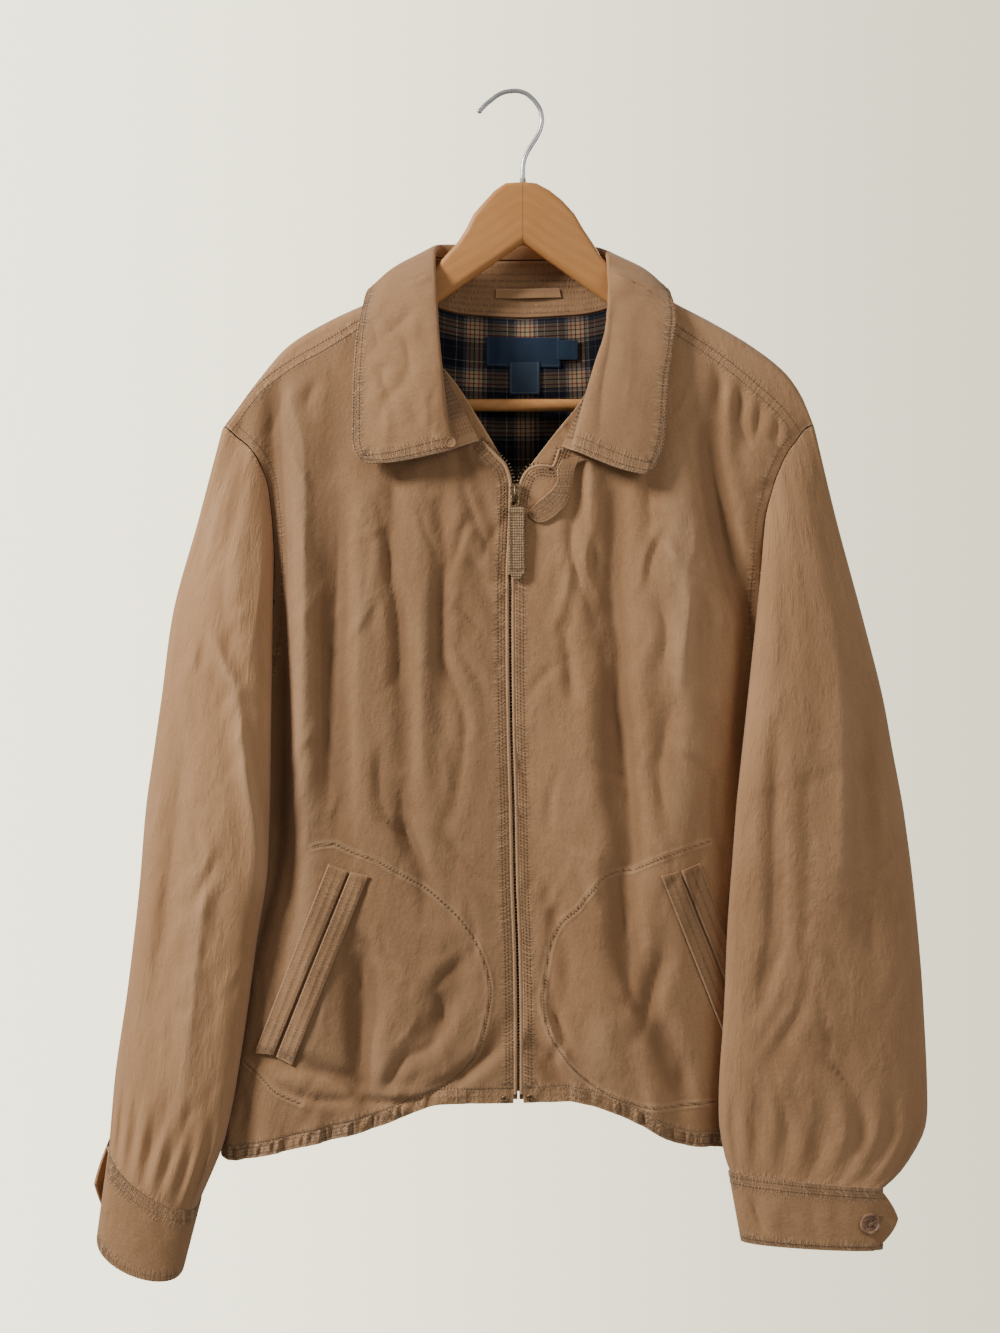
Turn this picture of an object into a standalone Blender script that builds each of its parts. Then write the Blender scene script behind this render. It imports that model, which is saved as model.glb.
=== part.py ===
"""Harrington jacket hanging on a wooden hanger with a wire hook.

Sizes are in millimetres and the mesh is made in metres. The origin is the hook's inner crown, where the
hanger is held. +Z is up and the front faces -Y. Right and left are the wearer's: the right side is at -X.
Every cloth piece is a sheet whose points a function works out from the tables below, with a wall on it.
"""
import math

import bmesh
import bpy
import numpy as np
from mathutils import Vector

MM = 0.001
GAP = 0.3               # between pieces that meet at a seam
TWILL = 1.4             # wall of the shell cloth
LINING = 1.0            # wall of the plaid lining
CASING = 2.2            # wall of the turned hem
CUFF_WALL = 2.0
COLLAR_WALL = 1.9
RAIL = 9.0              # radius of the cloth over the hanger's top edge
CHEST = 36.0            # how far the front stands out before the rail
BACK = 11.0             # how far the back stands out behind it
SIDE_Y = 2.0            # depth of the side seams
SIDE_FOLD = 9.0         # radius of the fold at the sides
CASING_HEIGHT = 11.0
CENTRE = 6.0            # the hanger's middle
SOFTEN = 10.0           # narrow folds are spread by this much, so that the mesh can carry them
SIGN = {"right": -1.0, "left": 1.0}


# ---------------------------------------------------------------- curves and tables

def smooth_curve(places, values, at):
    """Values between the places, on a cubic that never overshoots them."""
    places = np.asarray(places, float)
    values = np.asarray(values, float)
    at = np.clip(at, places[0], places[-1])
    step = np.diff(places)
    slope = np.diff(values) / step
    tangent = np.concatenate(([slope[0]], np.zeros(len(slope) - 1), [slope[-1]]))
    turning = slope[:-1] * slope[1:] > 0
    middle = np.zeros(len(slope) - 1)
    middle[turning] = 2 * slope[:-1][turning] * slope[1:][turning] / (slope[:-1] + slope[1:])[turning]
    tangent[1:-1] = middle
    k = np.clip(np.searchsorted(places, at, side="right") - 1, 0, len(step) - 1)
    t = (at - places[k]) / step[k]
    start = (1 + 2 * t) * (1 - t) ** 2 * values[k] + t * (1 - t) ** 2 * step[k] * tangent[k]
    end = t * t * (3 - 2 * t) * values[k + 1] - t * t * (1 - t) * step[k] * tangent[k + 1]
    return start + end


def ease(t):
    t = np.clip(t, 0.0, 1.0)
    return t * t * (3 - 2 * t)


class Table:
    """Rows of named columns, read at any place along the first column."""

    def __init__(self, names, *rows):
        self.names = names.split()
        self.rows = np.array(sorted(rows), float)

    def __call__(self, name, at):
        return smooth_curve(self.rows[:, 0], self.rows[:, self.names.index(name)], at)


class Line:
    """A smooth line through points, read by the share of its length from 0 to 1."""

    def __init__(self, points):
        self.points = np.array(points, float)
        self.length = np.concatenate(([0.0], np.cumsum(np.linalg.norm(np.diff(self.points, axis=0), axis=1))))

    def __call__(self, share):
        at = np.asarray(share, float) * self.length[-1]
        return np.stack([smooth_curve(self.length, column, at) for column in self.points.T], axis=-1)


class Chain:
    """Lines joined end to end with corners kept, read by the share of the whole length or by given shares."""

    def __init__(self, *lines, shares=None):
        self.lines = lines
        ends = np.cumsum([line.length[-1] for line in lines])
        self.ends = np.concatenate(([0.0], shares or ends / ends[-1]))

    def __call__(self, share):
        share = np.asarray(share, float)
        place = self.lines[0](np.zeros_like(share))
        for line, start, end in zip(self.lines, self.ends[:-1], self.ends[1:]):
            here = (share >= start)[..., None]
            place = np.where(here, line(np.clip((share - start) / (end - start), 0, 1)), place)
        return place


def patch(top, bottom, near, far, u, v, inset=GAP / 2):
    """A surface between four edges that stops short of each by the inset. near is at u=0, far at u=1."""
    across = np.linalg.norm(far(v) - near(v), axis=-1)
    down = np.linalg.norm(bottom(u) - top(u), axis=-1)
    u = u + (1 - 2 * u) * inset / across
    v = v + (1 - 2 * v) * inset / down
    u1 = u[..., None]
    v1 = v[..., None]
    corners = (1 - u1) * ((1 - v1) * top(0 * u) + v1 * bottom(0 * u))
    corners = corners + u1 * ((1 - v1) * top(0 * u + 1) + v1 * bottom(0 * u + 1))
    return (1 - v1) * top(u) + v1 * bottom(u) + (1 - u1) * near(v) + u1 * far(v) - corners


# ---------------------------------------------------------------- the body's form

RIDGE = Table("x z", (-252, -305), (-238, -274), (-227, -259), (-211, -237), (-183, -205), (-150, -185),
              (-114, -168), (-86, -151), (-60, -141), (6, -137), (72, -141), (98, -151), (124, -168),
              (158, -186), (190, -205), (218, -227), (231, -245), (243, -274), (257, -305))

# where each sleeve's inner edge hangs, measured out from the zip: the front falls back towards it
INNER = {
    "right": Table("z x", (-150, 212), (-349, 197), (-428, 195), (-600, 196), (-668, 204), (-729, 214),
                   (-806, 224), (-870, 236)),
    "left": Table("z x", (-150, 232), (-303, 216), (-350, 206), (-428, 196), (-532, 180), (-634, 170),
                  (-755, 164), (-870, 164)),
}
# side seams
SIDE = {
    "right": Table("z x", (-490, 262), (-528, 236), (-600, 234), (-700, 234), (-800, 237), (-870, 239)),
    "left": Table("z x", (-490, 266), (-528, 240), (-600, 239), (-700, 240), (-800, 243), (-870, 246)),
}
FALL = Table("place depth", (0.0, 1.0), (0.3, 1.0), (0.55, 0.95), (0.75, 0.82), (0.88, 0.62), (1.0, 0.36),
             (1.12, 0.18), (1.3, 0.08), (1.6, 0.0))
HANG = Table("z depth", (-870, 0.84), (-800, 0.95), (-700, 1.0), (-300, 1.0), (-130, 1.0))
ZIP = Table("z x", (-830, 2), (-727, 2), (-649, -0.5), (-570, -2), (-492, -4), (-413, -4.5), (-323, -1.5))

# long folds that hang in the cloth: ridges stand out, troughs are negative
FRONT_FOLDS = [
    # name, x0, z0, x1, z1, bow, half width, height
    ("right armhole trough", -196, -232, -182, -640, 2, 10, -9),
    ("right first ridge", -181, -250, -166, -770, -6, 13, 6),
    ("right broad trough", -146, -262, -132, -620, 4, 16, -6),
    ("right second ridge", -122, -310, -112, -600, 2, 12, 2.5),
    ("right third trough", -98, -306, -86, -640, -5, 10, -4),
    ("right fourth ridge", -76, -320, -68, -610, 3, 12, 3),
    ("right fifth trough", -60, -330, -50, -560, 3, 8, -2.5),
    ("right neck crease", -47, -295, -13, -380, -5, 5, -3.5),
    ("right pull crease", -36, -392, -9, -445, -4, 6, -2.5),
    ("right chest crease", -50, -420, -10, -470, 4, 7, -2.5),
    ("right waist trough", -104, -540, -62, -655, 4, 9, -4),
    ("right low trough", -124, -690, -120, -800, 0, 13, -8),
    ("right low ridge", -104, -745, -108, -805, 0, 9, 4),
    ("right bag trough", -44, -690, -78, -760, -8, 11, -5),
    ("right hem crease", -62, -796, -6, -745, 6, 7, -4),
    ("right casing fold", -205, -778, -112, -806, -10, 7, -4.5),
    ("left shoulder trough a", 160, -232, 158, -285, 0, 7, -3),
    ("left shoulder trough b", 182, -246, 178, -300, 0, 7, -3.5),
    ("left strong trough", 150, -270, 186, -430, 6, 12, -8),
    ("left armhole trough", 186, -400, 178, -560, 0, 9, -7),
    ("left chest ridge", 128, -300, 140, -520, 3, 15, 5),
    ("left broad trough", 78, -325, 82, -560, 3, 13, -5.5),
    ("left inner ridge", 60, -300, 68, -430, -3, 8, 3),
    ("left inner crease", 50, -325, 66, -450, -4, 7, -3),
    ("left zip crease", 40, -440, 46, -500, 0, 6, -2),
    ("left side ridge", 135, -540, 128, -620, 0, 14, 3),
    ("left waist trough", 80, -500, 90, -620, 4, 15, -7),
    ("left low trough", 84, -625, 92, -720, 3, 11, -8),
    ("left pocket trough", 115, -690, 98, -755, 0, 9, -4.5),
    ("left corner trough", 110, -745, 132, -806, 4, 10, -7),
    ("left bag crease", 28, -650, 36, -740, -6, 7, -3.5),
    ("left hem crease", 16, -765, 42, -805, 3, 6, -4),
    ("left low ridge", 66, -740, 70, -790, 0, 14, 4),
]
BACK_FOLDS = [
    ("right blade trough", -150, -250, -166, -560, 6, 16, -5),
    ("right blade ridge", -112, -230, -120, -640, 5, 18, 4.5),
    ("right waist trough", -74, -330, -66, -760, -6, 15, -5),
    ("middle ridge", -14, -300, -20, -700, 8, 20, 4),
    ("middle trough", 30, -260, 26, -600, -5, 14, -4.5),
    ("left waist ridge", 70, -300, 78, -740, 6, 18, 4.5),
    ("left blade trough", 118, -240, 128, -620, 6, 15, -5),
    ("left side ridge", 164, -280, 170, -690, -5, 16, 4),
    ("right hem trough", -120, -660, -110, -838, 0, 13, -5),
    ("left hem trough", 60, -690, 44, -840, 0, 13, -5),
    ("right side trough", -190, -560, -196, -800, 3, 12, -4),
    ("left side trough", 196, -560, 204, -800, -3, 12, -4),
]


def relief(folds, x, z):
    """How far the folds lift the cloth at each point."""
    lift = np.zeros(np.broadcast(x, z).shape)
    for name, x0, z0, x1, z1, bow, half_width, height in folds:
        length = math.hypot(x1 - x0, z1 - z0)
        along_x = (x1 - x0) / length
        along_z = (z1 - z0) / length
        along = ((x - x0) * along_x + (z - z0) * along_z) / length
        off = (x - x0) * along_z - (z - z0) * along_x
        inside = np.clip(along, 0, 1)
        off = off - bow * 4 * inside * (1 - inside)
        past = np.abs(along - inside) * length
        fade = np.sqrt(np.sin(np.pi * np.clip(0.06 + 0.88 * inside, 0, 1)))
        soft = math.hypot(half_width, SOFTEN)
        height = height * half_width / soft
        lift = lift + height * fade * np.exp(-(off / soft) ** 2 - (past / (1.6 * soft)) ** 2)
    return lift


def path_from_drop(drop):
    """Length along the cloth from the ridge to a point that lies so far below it."""
    drop = np.maximum(drop, 0.0)
    round_part = RAIL * np.arccos(1 - np.clip(drop / RAIL, 0, 1))
    return np.where(drop < RAIL, round_part, RAIL * math.pi / 2 + drop - RAIL)


def drop_from_path(path):
    path = np.abs(path)
    quarter = RAIL * math.pi / 2
    round_part = RAIL * (1 - np.cos(np.minimum(path, quarter) / RAIL))
    return np.where(path < quarter, round_part, RAIL + path - quarter)


def by_side(tables, column, x, z):
    return np.where(x < 0, tables["right"](column, z), tables["left"](column, z))


def hem_wave(x, z, hem):
    """Soft gathers that the elastic pulls into the sides above the hem."""
    near_hem = ease(1 - (z - hem) / 60)
    at_sides = ease((np.abs(x) - 60) / 60)
    return 1.8 * near_hem * at_sides * np.sin(x * 2 * math.pi / 34)


def body(x, path):
    """The jacket's body as points. path runs from the ridge: negative down the front, positive down the back."""
    x = np.asarray(x, float)
    drop = drop_from_path(path)
    z = RIDGE("z", x) - drop
    roof = RAIL * np.sin(np.minimum(np.abs(path) / RAIL, math.pi / 2))
    place = np.abs(x - ZIP("x", z)) / by_side(INNER, "x", x, z)
    near_top = ease((drop - 12) / 45)
    side_roof = roof * (1 - 0.55 * ease((place - 0.98) / 0.28))
    front = side_roof + CHEST * (1 - np.exp(-drop / 110)) * FALL("depth", place) * HANG("depth", z)
    front = front + near_top * relief(FRONT_FOLDS, x, z) + hem_wave(x, z, FRONT_HEM("z", x))
    front = np.maximum(front, roof - 0.3 - 30 * ease((drop - 52) / 45))
    behind = roof + BACK * (1 - np.exp(-drop / 90)) * (1 - 0.4 * np.minimum(place, 1.3) ** 2)
    behind = behind + near_top * relief(BACK_FOLDS, x, z) + hem_wave(x + 9, z, FRONT_HEM("z", x))
    behind = np.maximum(behind, roof - 0.3 - 30 * ease((drop - 52) / 45))
    y = np.where(path < 0, -front, behind)
    into_fold = np.clip((np.abs(x) - by_side(SIDE, "x", x, z)) / SIDE_FOLD + 1, 0, 1)
    y = SIDE_Y + (y - SIDE_Y) * np.sqrt(1 - into_fold ** 2)
    return np.stack([x, y, z], axis=-1)


FRONT_HEM = Table("x z", (-250, -859), (-221, -859), (-199, -854), (-163, -844), (-133, -836), (-108, -828),
                  (-74, -814), (-55, -810), (-7, -809), (43, -808), (63, -812), (96, -826), (119, -839),
                  (140, -846), (163, -849), (200, -854), (250, -859))
BACK_LOWER = 5.0        # how far the back's hem hangs below the front's in the middle


def back_hem(x):
    return FRONT_HEM("z", x) - BACK_LOWER * (1 - np.minimum((x / 245) ** 2, 1))


def on_front(x, z):
    """Place of a front point on the cloth: x and the path from the ridge."""
    x = np.asarray(x, float)
    return np.stack([x, -path_from_drop(RIDGE("z", x) - z)], axis=-1)


def on_back(x, z):
    x = np.asarray(x, float)
    return np.stack([x, path_from_drop(RIDGE("z", x) - z)], axis=-1)


def front_points(x, z, out=0.0):
    """Points on the front at x and z, moved out of the cloth by a distance."""
    place = on_front(x, z)
    points = body(place[..., 0], place[..., 1])
    points[..., 1] -= out
    return points


# ---------------------------------------------------------------- seam lines on the body

NECK_FRONT = {
    "right": [(-29, -287), (-46, -255), (-63, -221), (-80, -193), (-98, -175)],
    "left": [(37, -292), (53, -258), (68, -223), (88, -201), (112, -187)],
}
NECK_BACK = [(-80, -156), (-72, -167), (-60, -174), (-34, -179), (7, -181), (48, -179), (74, -174),
             (84, -168), (92, -158)]
NECK_JOINTS = [0.25, 0.75, 1.0]
NECK_OVER = (-88, 100)  # where the neck seam crosses the ridges
SHOULDER = {
    "right": [(-98, -175), (-128, -196), (-156, -213), (-186, -230), (-208, -248), (-229, -276)],
    "left": [(112, -187), (127, -198), (160, -220), (190, -244), (210, -262), (226, -283)],
}
ARMHOLE_FRONT = {
    "right": [(-229, -276), (-207, -299), (-198, -326), (-194, -380), (-195, -428), (-204, -478), (-236, -528)],
    "left": [(226, -283), (214, -301), (205, -325), (199, -352), (195, -428), (204, -478), (240, -528)],
}
ARMHOLE_BACK = {
    "right": [(-238, -274), (-236, -300), (-233, -350), (-231, -410), (-232, -480), (-236, -528)],
    "left": [(243, -274), (241, -300), (237, -350), (235, -410), (236, -480), (240, -528)],
}
CENTRE_EDGE = {
    "right": [(-29, -287), (-17, -299), (-9, -308), (-5.5, -322)],
    "left": [(37, -292), (29, -309), (20, -308), (11, -311), (6, -319), (3.2, -330)],
}
ZIP_GAP = 3.6           # from the zip's middle to each front's folded edge


# columns of the back and of the collar: those round the neck are shared, so that their edges match
NECK_COLUMNS = (0.25, 0.266, 0.282, 0.298, 0.314, 0.332, 0.355, 0.39, 0.44, 0.50, 0.56, 0.61, 0.64, 0.66,
                0.676, 0.691, 0.706, 0.721, 0.736, 0.75)
SEAM_COLUMNS = tuple(k / 28 for k in range(7))
BACK_COLUMNS = SEAM_COLUMNS + NECK_COLUMNS + tuple(1 - share for share in SEAM_COLUMNS[::-1])


def line_on(place, rows):
    return Line([place(np.float64(x), np.float64(z)) for x, z in rows])


def side_seam(side, end):
    sign = SIGN[side]
    levels = np.linspace(-528, end, 8)
    return Line([on_back(sign * SIDE[side]("x", z), z) for z in levels])


def front_side_seam(side, end):
    sign = SIGN[side]
    levels = np.linspace(-528, end, 8)
    return Line([on_front(sign * SIDE[side]("x", z), z) for z in levels])


def hem_line(side, above):
    """Front hem line from the zip to the side seam, so far above the edge."""
    sign = SIGN[side]
    start = ZIP("x", -808.0) + sign * ZIP_GAP
    end = sign * SIDE[side]("x", -850.0)
    return Line([on_front(x, FRONT_HEM("z", x) + above) for x in np.linspace(start, end, 14)])


def zip_edge(side, end):
    sign = SIGN[side]
    levels = np.linspace(-345, end, 9)
    straight = [on_front(ZIP("x", z) + sign * ZIP_GAP, z) for z in levels]
    flare = [on_front(np.float64(x), np.float64(z)) for x, z in CENTRE_EDGE[side]]
    return Line(flare + straight)


def front_edges(side):
    above = CASING_HEIGHT
    hem = hem_line(side, above)
    centre_end = FRONT_HEM("z", ZIP("x", -808.0) + SIGN[side] * ZIP_GAP) + above
    side_end = FRONT_HEM("z", SIGN[side] * SIDE[side]("x", -850.0)) + above
    neck = line_on(on_front, NECK_FRONT[side][::-1])
    seam = line_on(on_front, SHOULDER[side])
    armhole = line_on(on_front, ARMHOLE_FRONT[side])
    inner = Chain(neck, zip_edge(side, centre_end), shares=[0.2, 1.0])
    return seam, hem, inner, Chain(armhole, front_side_seam(side, side_end), shares=[0.46, 1.0])


def back_side_edge(side):
    over = [on_front(np.float64(SHOULDER[side][-1][0]), np.float64(SHOULDER[side][-1][1]))]
    over.append(on_back(np.float64(ARMHOLE_BACK[side][0][0]), np.float64(ARMHOLE_BACK[side][0][1])))
    end = back_hem(SIGN[side] * SIDE[side]("x", -850.0)) + CASING_HEIGHT
    return Chain(Line(over), line_on(on_back, ARMHOLE_BACK[side]), side_seam(side, end))


def back_neck_line():
    """The neck seam over both ridges and behind, from the right shoulder seam to the left one."""
    start = on_front(*map(np.float64, SHOULDER["right"][0]))
    end = on_front(*map(np.float64, SHOULDER["left"][0]))
    behind = [on_back(np.float64(x), np.float64(z)) for x, z in NECK_BACK]
    return Line([start, (NECK_OVER[0], 0)] + behind + [(NECK_OVER[1], 0), end])


def back_hem_line(above):
    start = -SIDE["right"]("x", -850.0)
    end = SIDE["left"]("x", -850.0)
    return Line([on_back(x, back_hem(x) + above) for x in np.linspace(start, end, 31)])


def back_edges():
    seam_right = line_on(on_front, SHOULDER["right"][::-1])
    seam_left = line_on(on_front, SHOULDER["left"])
    top = Chain(seam_right, back_neck_line(), seam_left, shares=NECK_JOINTS)
    return top, back_hem_line(CASING_HEIGHT), back_side_edge("right"), back_side_edge("left")


# ---------------------------------------------------------------- sleeves and cuffs

# z and x of the outer and the inner edge (x measured out from the zip), depth of each edge, half depths to
# the front and the back, and how far the front of the ring dips
SLEEVE = {
    "right": Table("share z_out x_out z_in x_in y_out y_in front back dip",
                   (0.00, -530, 291, -572, 195, -6, -32, 28, 22, 1),
                   (0.16, -580, 298, -625, 197, -6, -31, 28, 22, 2),
                   (0.42, -640, 303, -684, 206, -6, -28, 27, 22, 4),
                   (0.65, -720, 312, -763, 217, -7, -25, 25, 21, 7),
                   (0.86, -800, 323, -838, 231, -9, -23, 23, 19, 12),
                   (1.00, -846, 326, -890, 252, -13, -21, 20, 18, 17)),
    "left": Table("share z_out x_out z_in x_in y_out y_in front back dip",
                  (0.00, -530, 304, -572, 175, -4, -34, 24, 20, 0),
                  (0.16, -585, 314, -612, 172, -4, -34, 24, 20, 0),
                  (0.42, -650, 322, -668, 168, -5, -33, 23, 20, 0),
                  (0.65, -736, 329, -740, 165, -6, -32, 22, 19, 0),
                  (0.86, -818, 332, -810, 161, -8, -31, 20, 17, 0),
                  (0.95, -858, 324, -843, 162, -10, -29, 19, 15, 0),
                  (1.00, -880, 296, -863, 168, -14, -27, 14, 11, 0)),
}
OUTER_EDGE = {
    "right": [(-238, 0, -274), (-257, -1, -347), (-278, -4, -428), (-285, -6, -486), (-291, -6, -530)],
    "left": [(243, 0, -274), (260, -1, -348), (281, -3, -428), (297, -4, -492), (304, -4, -530)],
}
FAN = 8 / 19              # share of the sleeve's rows above its first full ring
GATHERS = 9             # gather waves on each face of a sleeve at the cuff
SLEEVE_FOLDS = {
    "right": [
        ("cap trough", -222, -288, -232, -375, 0, 7, -5),
        ("cap ridge", -238, -300, -262, -420, 3, 8, 4),
        ("upper ridge", -214, -320, -212, -470, 4, 9, 4),
        ("elbow crease", -246, -438, -220, -486, 3, 6, 5),
        ("pressed edge", -220, -500, -203, -640, -4, 8, 8),
        ("outer trough", -262, -520, -286, -700, 5, 9, -4),
        ("forearm ridge", -240, -600, -262, -800, 6, 11, 4),
        ("forearm trough", -272, -640, -290, -800, 4, 9, -4),
        ("crook crease", -256, -655, -282, -705, 0, 6, 3),
    ],
    "left": [
        ("cap trough", 240, -300, 262, -420, 3, 8, -4),
        ("inner ridge", 200, -400, 184, -620, -3, 9, 4),
        ("elbow trough", 206, -520, 204, -700, 4, 8, -4),
        ("elbow diagonal", 200, -690, 192, -740, 0, 8, -4),
        ("outer trough", 283, -480, 296, -660, 6, 10, -4),
        ("middle ridge", 250, -440, 256, -640, -5, 14, 4),
        ("forearm trough", 279, -655, 284, -700, 0, 8, -4),
        ("low curve", 240, -755, 268, -795, -6, 8, -5),
        ("low trough", 226, -730, 198, -785, 0, 8, -4.5),
        ("cuff trough a", 272, -820, 282, -870, 0, 7, -5),
        ("cuff trough b", 232, -810, 240, -862, 0, 7, -5),
        ("cuff trough c", 190, -800, 206, -850, 0, 7, -5),
    ],
}
# where the sleeve's back turns up into the front armhole: the turn's share of the way in, how far the seam stands
# out of the armhole there, over what share, and how far in front of the body it goes on, over what share
UNDER_ARM = {"right": 0.5, "left": 0.46, "bump": 2.0, "width": 0.15, "off": 2.6, "ramp": 0.05}
KNEE = {"right": 0.7, "left": 0.62}     # share of the front armhole where the sleeve's inner fold begins
CUFF = {
    # ring centre at the top and foot, half width vector, depth vector of the front, at the top and foot
    "right": ((-289, -18, -868), (-300, -22, -930), (-36, -1, 22), (-34, -1, 12), (0, -19, -17), (0, -18, -17)),
    "left": ((231, -30, -872), (236, -30, -924), (61, 2, -7), (56, 2, -4), (0, -11, 0), (0, -11, 0)),
}
BULGE = [0.7, 0.6]      # how square the fan's bulge is, down it and across it
CUFF_REST = {"right": 1.7, "left": 0.6}     # from the cuff's top edge to the sleeve's end
CUFF_BLEND = 0.9        # share of the sleeve where it starts to draw in to the cuff
CUFF_STEP = 15.0        # degrees from one column to the next, round sleeve and cuff alike
CUFF_START = 30.0       # degrees that the under end of the band runs past the outer edge
CUFF_LAP = 3.4          # how far out the upper end lies over it
CUFF_TAB = {"right": 5.0, "left": 9.0}      # how far the pointed end runs past the fold
CUFF_POINT = (28.0, 38.0)   # degrees that the end's top and foot corners are cut back from its point
BUTTON_ROOM = 0.4       # from the cuff to its button


def soft_lower(a, b, blend):
    """The lower of two depths, rounded where they cross."""
    h = np.clip(0.5 + 0.5 * (b - a) / blend, 0, 1)
    return b + (a - b) * h - blend * h * (1 - h)


def off_front(side, x, z, room):
    """How far forward the sleeve's back has to stay, to rest on the front of the body."""
    side_x = SIDE[side]("x", z)
    rest = front_points(SIGN[side] * np.minimum(np.abs(x), side_x - 5), z)[..., 1] - room
    return rest + 1.5 * np.maximum(np.abs(x) - side_x - 3, 0)


def sleeve_ring(side, inward, front, share):
    """Points of a full ring. inward runs from 0 at the outer edge to 1 at the inner edge."""
    table = SLEEVE[side]
    sign = SIGN[side]
    swing = (1 - np.cos(math.pi * inward)) / 2
    around = np.sin(math.pi * inward) ** 0.85
    x = sign * (table("x_out", share) + (table("x_in", share) - table("x_out", share)) * swing)
    z = table("z_out", share) + (table("z_in", share) - table("z_out", share)) * swing
    middle = table("y_out", share) + (table("y_in", share) - table("y_out", share)) * swing
    face = np.where(front, -1.0, 1.0)
    depth = np.where(front, table("front", share), table("back", share))
    z = z + face * table("dip", share) * around
    y = middle + face * depth * around
    gather = 2.0 * ease((share - 0.78) / 0.15) * ease((1 - share) / 0.08)
    y = y + face * around * gather * np.sin(GATHERS * 2 * math.pi * inward + 1.1 * sign)
    y = np.where(front, y, soft_lower(y, off_front(side, x, z, 4.6), 4.0))
    end = cuff_ring(side, -face * math.pi * inward, 0 * share, 0 * share)
    end = end + unit(np.array(CUFF[side][0], float) - np.array(CUFF[side][1], float)) * CUFF_REST[side]
    into_cuff = ease((share - CUFF_BLEND) / (1 - CUFF_BLEND))[..., None]
    return np.stack([x, y, z], axis=-1) * (1 - into_cuff) + end * into_cuff


def armhole_loop(side, inward, front):
    """The armhole from its top, down the front to the knee, or down the back and round to the knee."""
    cap = on_front(*map(np.float64, ARMHOLE_FRONT[side][0]))
    top = on_back(*map(np.float64, ARMHOLE_BACK[side][0]))
    down_front = Chain(Line([top, cap]), line_on(on_front, ARMHOLE_FRONT[side]))
    down_back = line_on(on_back, ARMHOLE_BACK[side])
    knee = KNEE[side]
    place = down_front(inward * knee)
    on_face = body(place[..., 0], place[..., 1])
    turn = UNDER_ARM[side]
    behind = down_back(np.clip(inward / turn, 0, 1))
    behind_points = body(behind[..., 0], behind[..., 1])
    rising = down_front(1 - (1 - knee) * np.clip((inward - turn) / (1 - turn), 0, 1))
    rising_points = body(rising[..., 0], rising[..., 1])
    stand_off = UNDER_ARM["off"] * ease((inward - turn) / UNDER_ARM["ramp"])
    rising_points[..., 1] -= stand_off * (1 - 0.7 * ease((inward - 0.8) / 0.2))
    under = UNDER_ARM["bump"] * ease(1 - np.abs(inward - turn) / UNDER_ARM["width"])
    rising_points[..., 0] += SIGN[side] * under
    behind_points[..., 0] += SIGN[side] * under
    on_face[..., 1] -= 0.8 * ease(inward / 0.08)
    behind_points[..., 1] += 0.5 * ease(inward / 0.08)
    rising_points[..., 0] += SIGN[side] * 0.8 * (1 - ease((inward - turn) / 0.2))
    behind_points[..., 0] += SIGN[side] * 0.8 * ease(inward / turn * 2 - 1)
    back_face = np.where((inward <= turn)[..., None], behind_points, rising_points)
    return np.where(front[..., None], on_face, back_face)


def sleeve(side, u, v):
    """u runs round the sleeve from its outer edge over the front, v from the armhole to the cuff."""
    front = u < 0.5
    inward = np.where(front, 2 * u, 2 - 2 * u)
    sign = SIGN[side]
    ring_share = np.clip((v - FAN) / (1 - FAN), 0, 1)
    ring = sleeve_ring(side, inward, front, ring_share)
    first = sleeve_ring(side, inward, front, 0 * v)
    loop = armhole_loop(side, inward, front)
    length = np.linalg.norm(first - loop, axis=-1)
    t = np.clip(v / FAN, 0, 1)
    off_seam = np.where(front, 2.0, 2.0 + 1.5 * ease(inward / 0.08))
    t = t + (1 - t) * off_seam * GAP / np.maximum(length, 3.0)
    t1 = t[..., None]
    outer = Line(OUTER_EDGE[side])
    bow = outer(t) - ((1 - t1) * outer(0 * t) + t1 * outer(0 * t + 1))
    outward = (1 - inward)[..., None] ** 2
    fan = (1 - t1) * loop + t1 * first + outward * bow
    face = np.where(front, -1.0, 1.0)
    bulge = np.where(front, 9.0, 4.0) * np.sin(math.pi * t) ** BULGE[0] * np.sin(math.pi * inward) ** BULGE[1]
    fan[..., 1] += face * bulge * np.where(front, 1.0, ease((0.5 - inward) / 0.2))
    held_off = off_front(side, fan[..., 0], fan[..., 2], 2.4 + 2.2 * ease(2 * t))
    fan[..., 1] = np.where(front | (inward < 0.55), fan[..., 1], soft_lower(fan[..., 1], held_off, 2.0))
    points = np.where((v < FAN)[..., None], fan, ring)
    folds = relief(SLEEVE_FOLDS[side], points[..., 0], points[..., 2])
    room = np.sin(math.pi * inward) * ease(v / FAN * 2.5)
    ends = ease((1 - v) * 14)
    behind = relief(SLEEVE_FOLDS[side], points[..., 0] + 14 * sign, points[..., 2] + 26)
    free = ease((np.abs(points[..., 0]) - SIDE[side]("x", points[..., 2]) - 12) / 14)
    points[..., 1] += room * ends * np.where(front, -folds, 0.7 * behind * free)
    return points


def unit(vector):
    return vector / np.linalg.norm(vector)


def cuff_ring(side, angle, down, out=0.0):
    """Points round a cuff: angle 0 is its outer edge and a quarter turn its front."""
    centre_top, centre_foot, half_top, half_foot, deep_top, deep_foot = (np.array(part, float)
                                                                       for part in CUFF[side])
    down = np.asarray(down)[..., None]
    out = np.asarray(out)[..., None]
    centre = centre_top + (centre_foot - centre_top) * down
    half = half_top + (half_foot - half_top) * down
    deep = deep_top + (deep_foot - deep_top) * down
    axis = unit(centre_foot - centre_top)
    sideways = unit(half_top - axis * np.dot(half_top, axis))
    forwards = unit(deep_top - axis * np.dot(deep_top, axis))
    sine = np.sin(angle)[..., None]
    cosine = np.cos(angle)[..., None]
    points = centre + half * cosine + deep * np.sign(sine) * np.abs(sine) ** 0.8
    return points + out * (sideways * cosine + forwards * sine)


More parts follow.
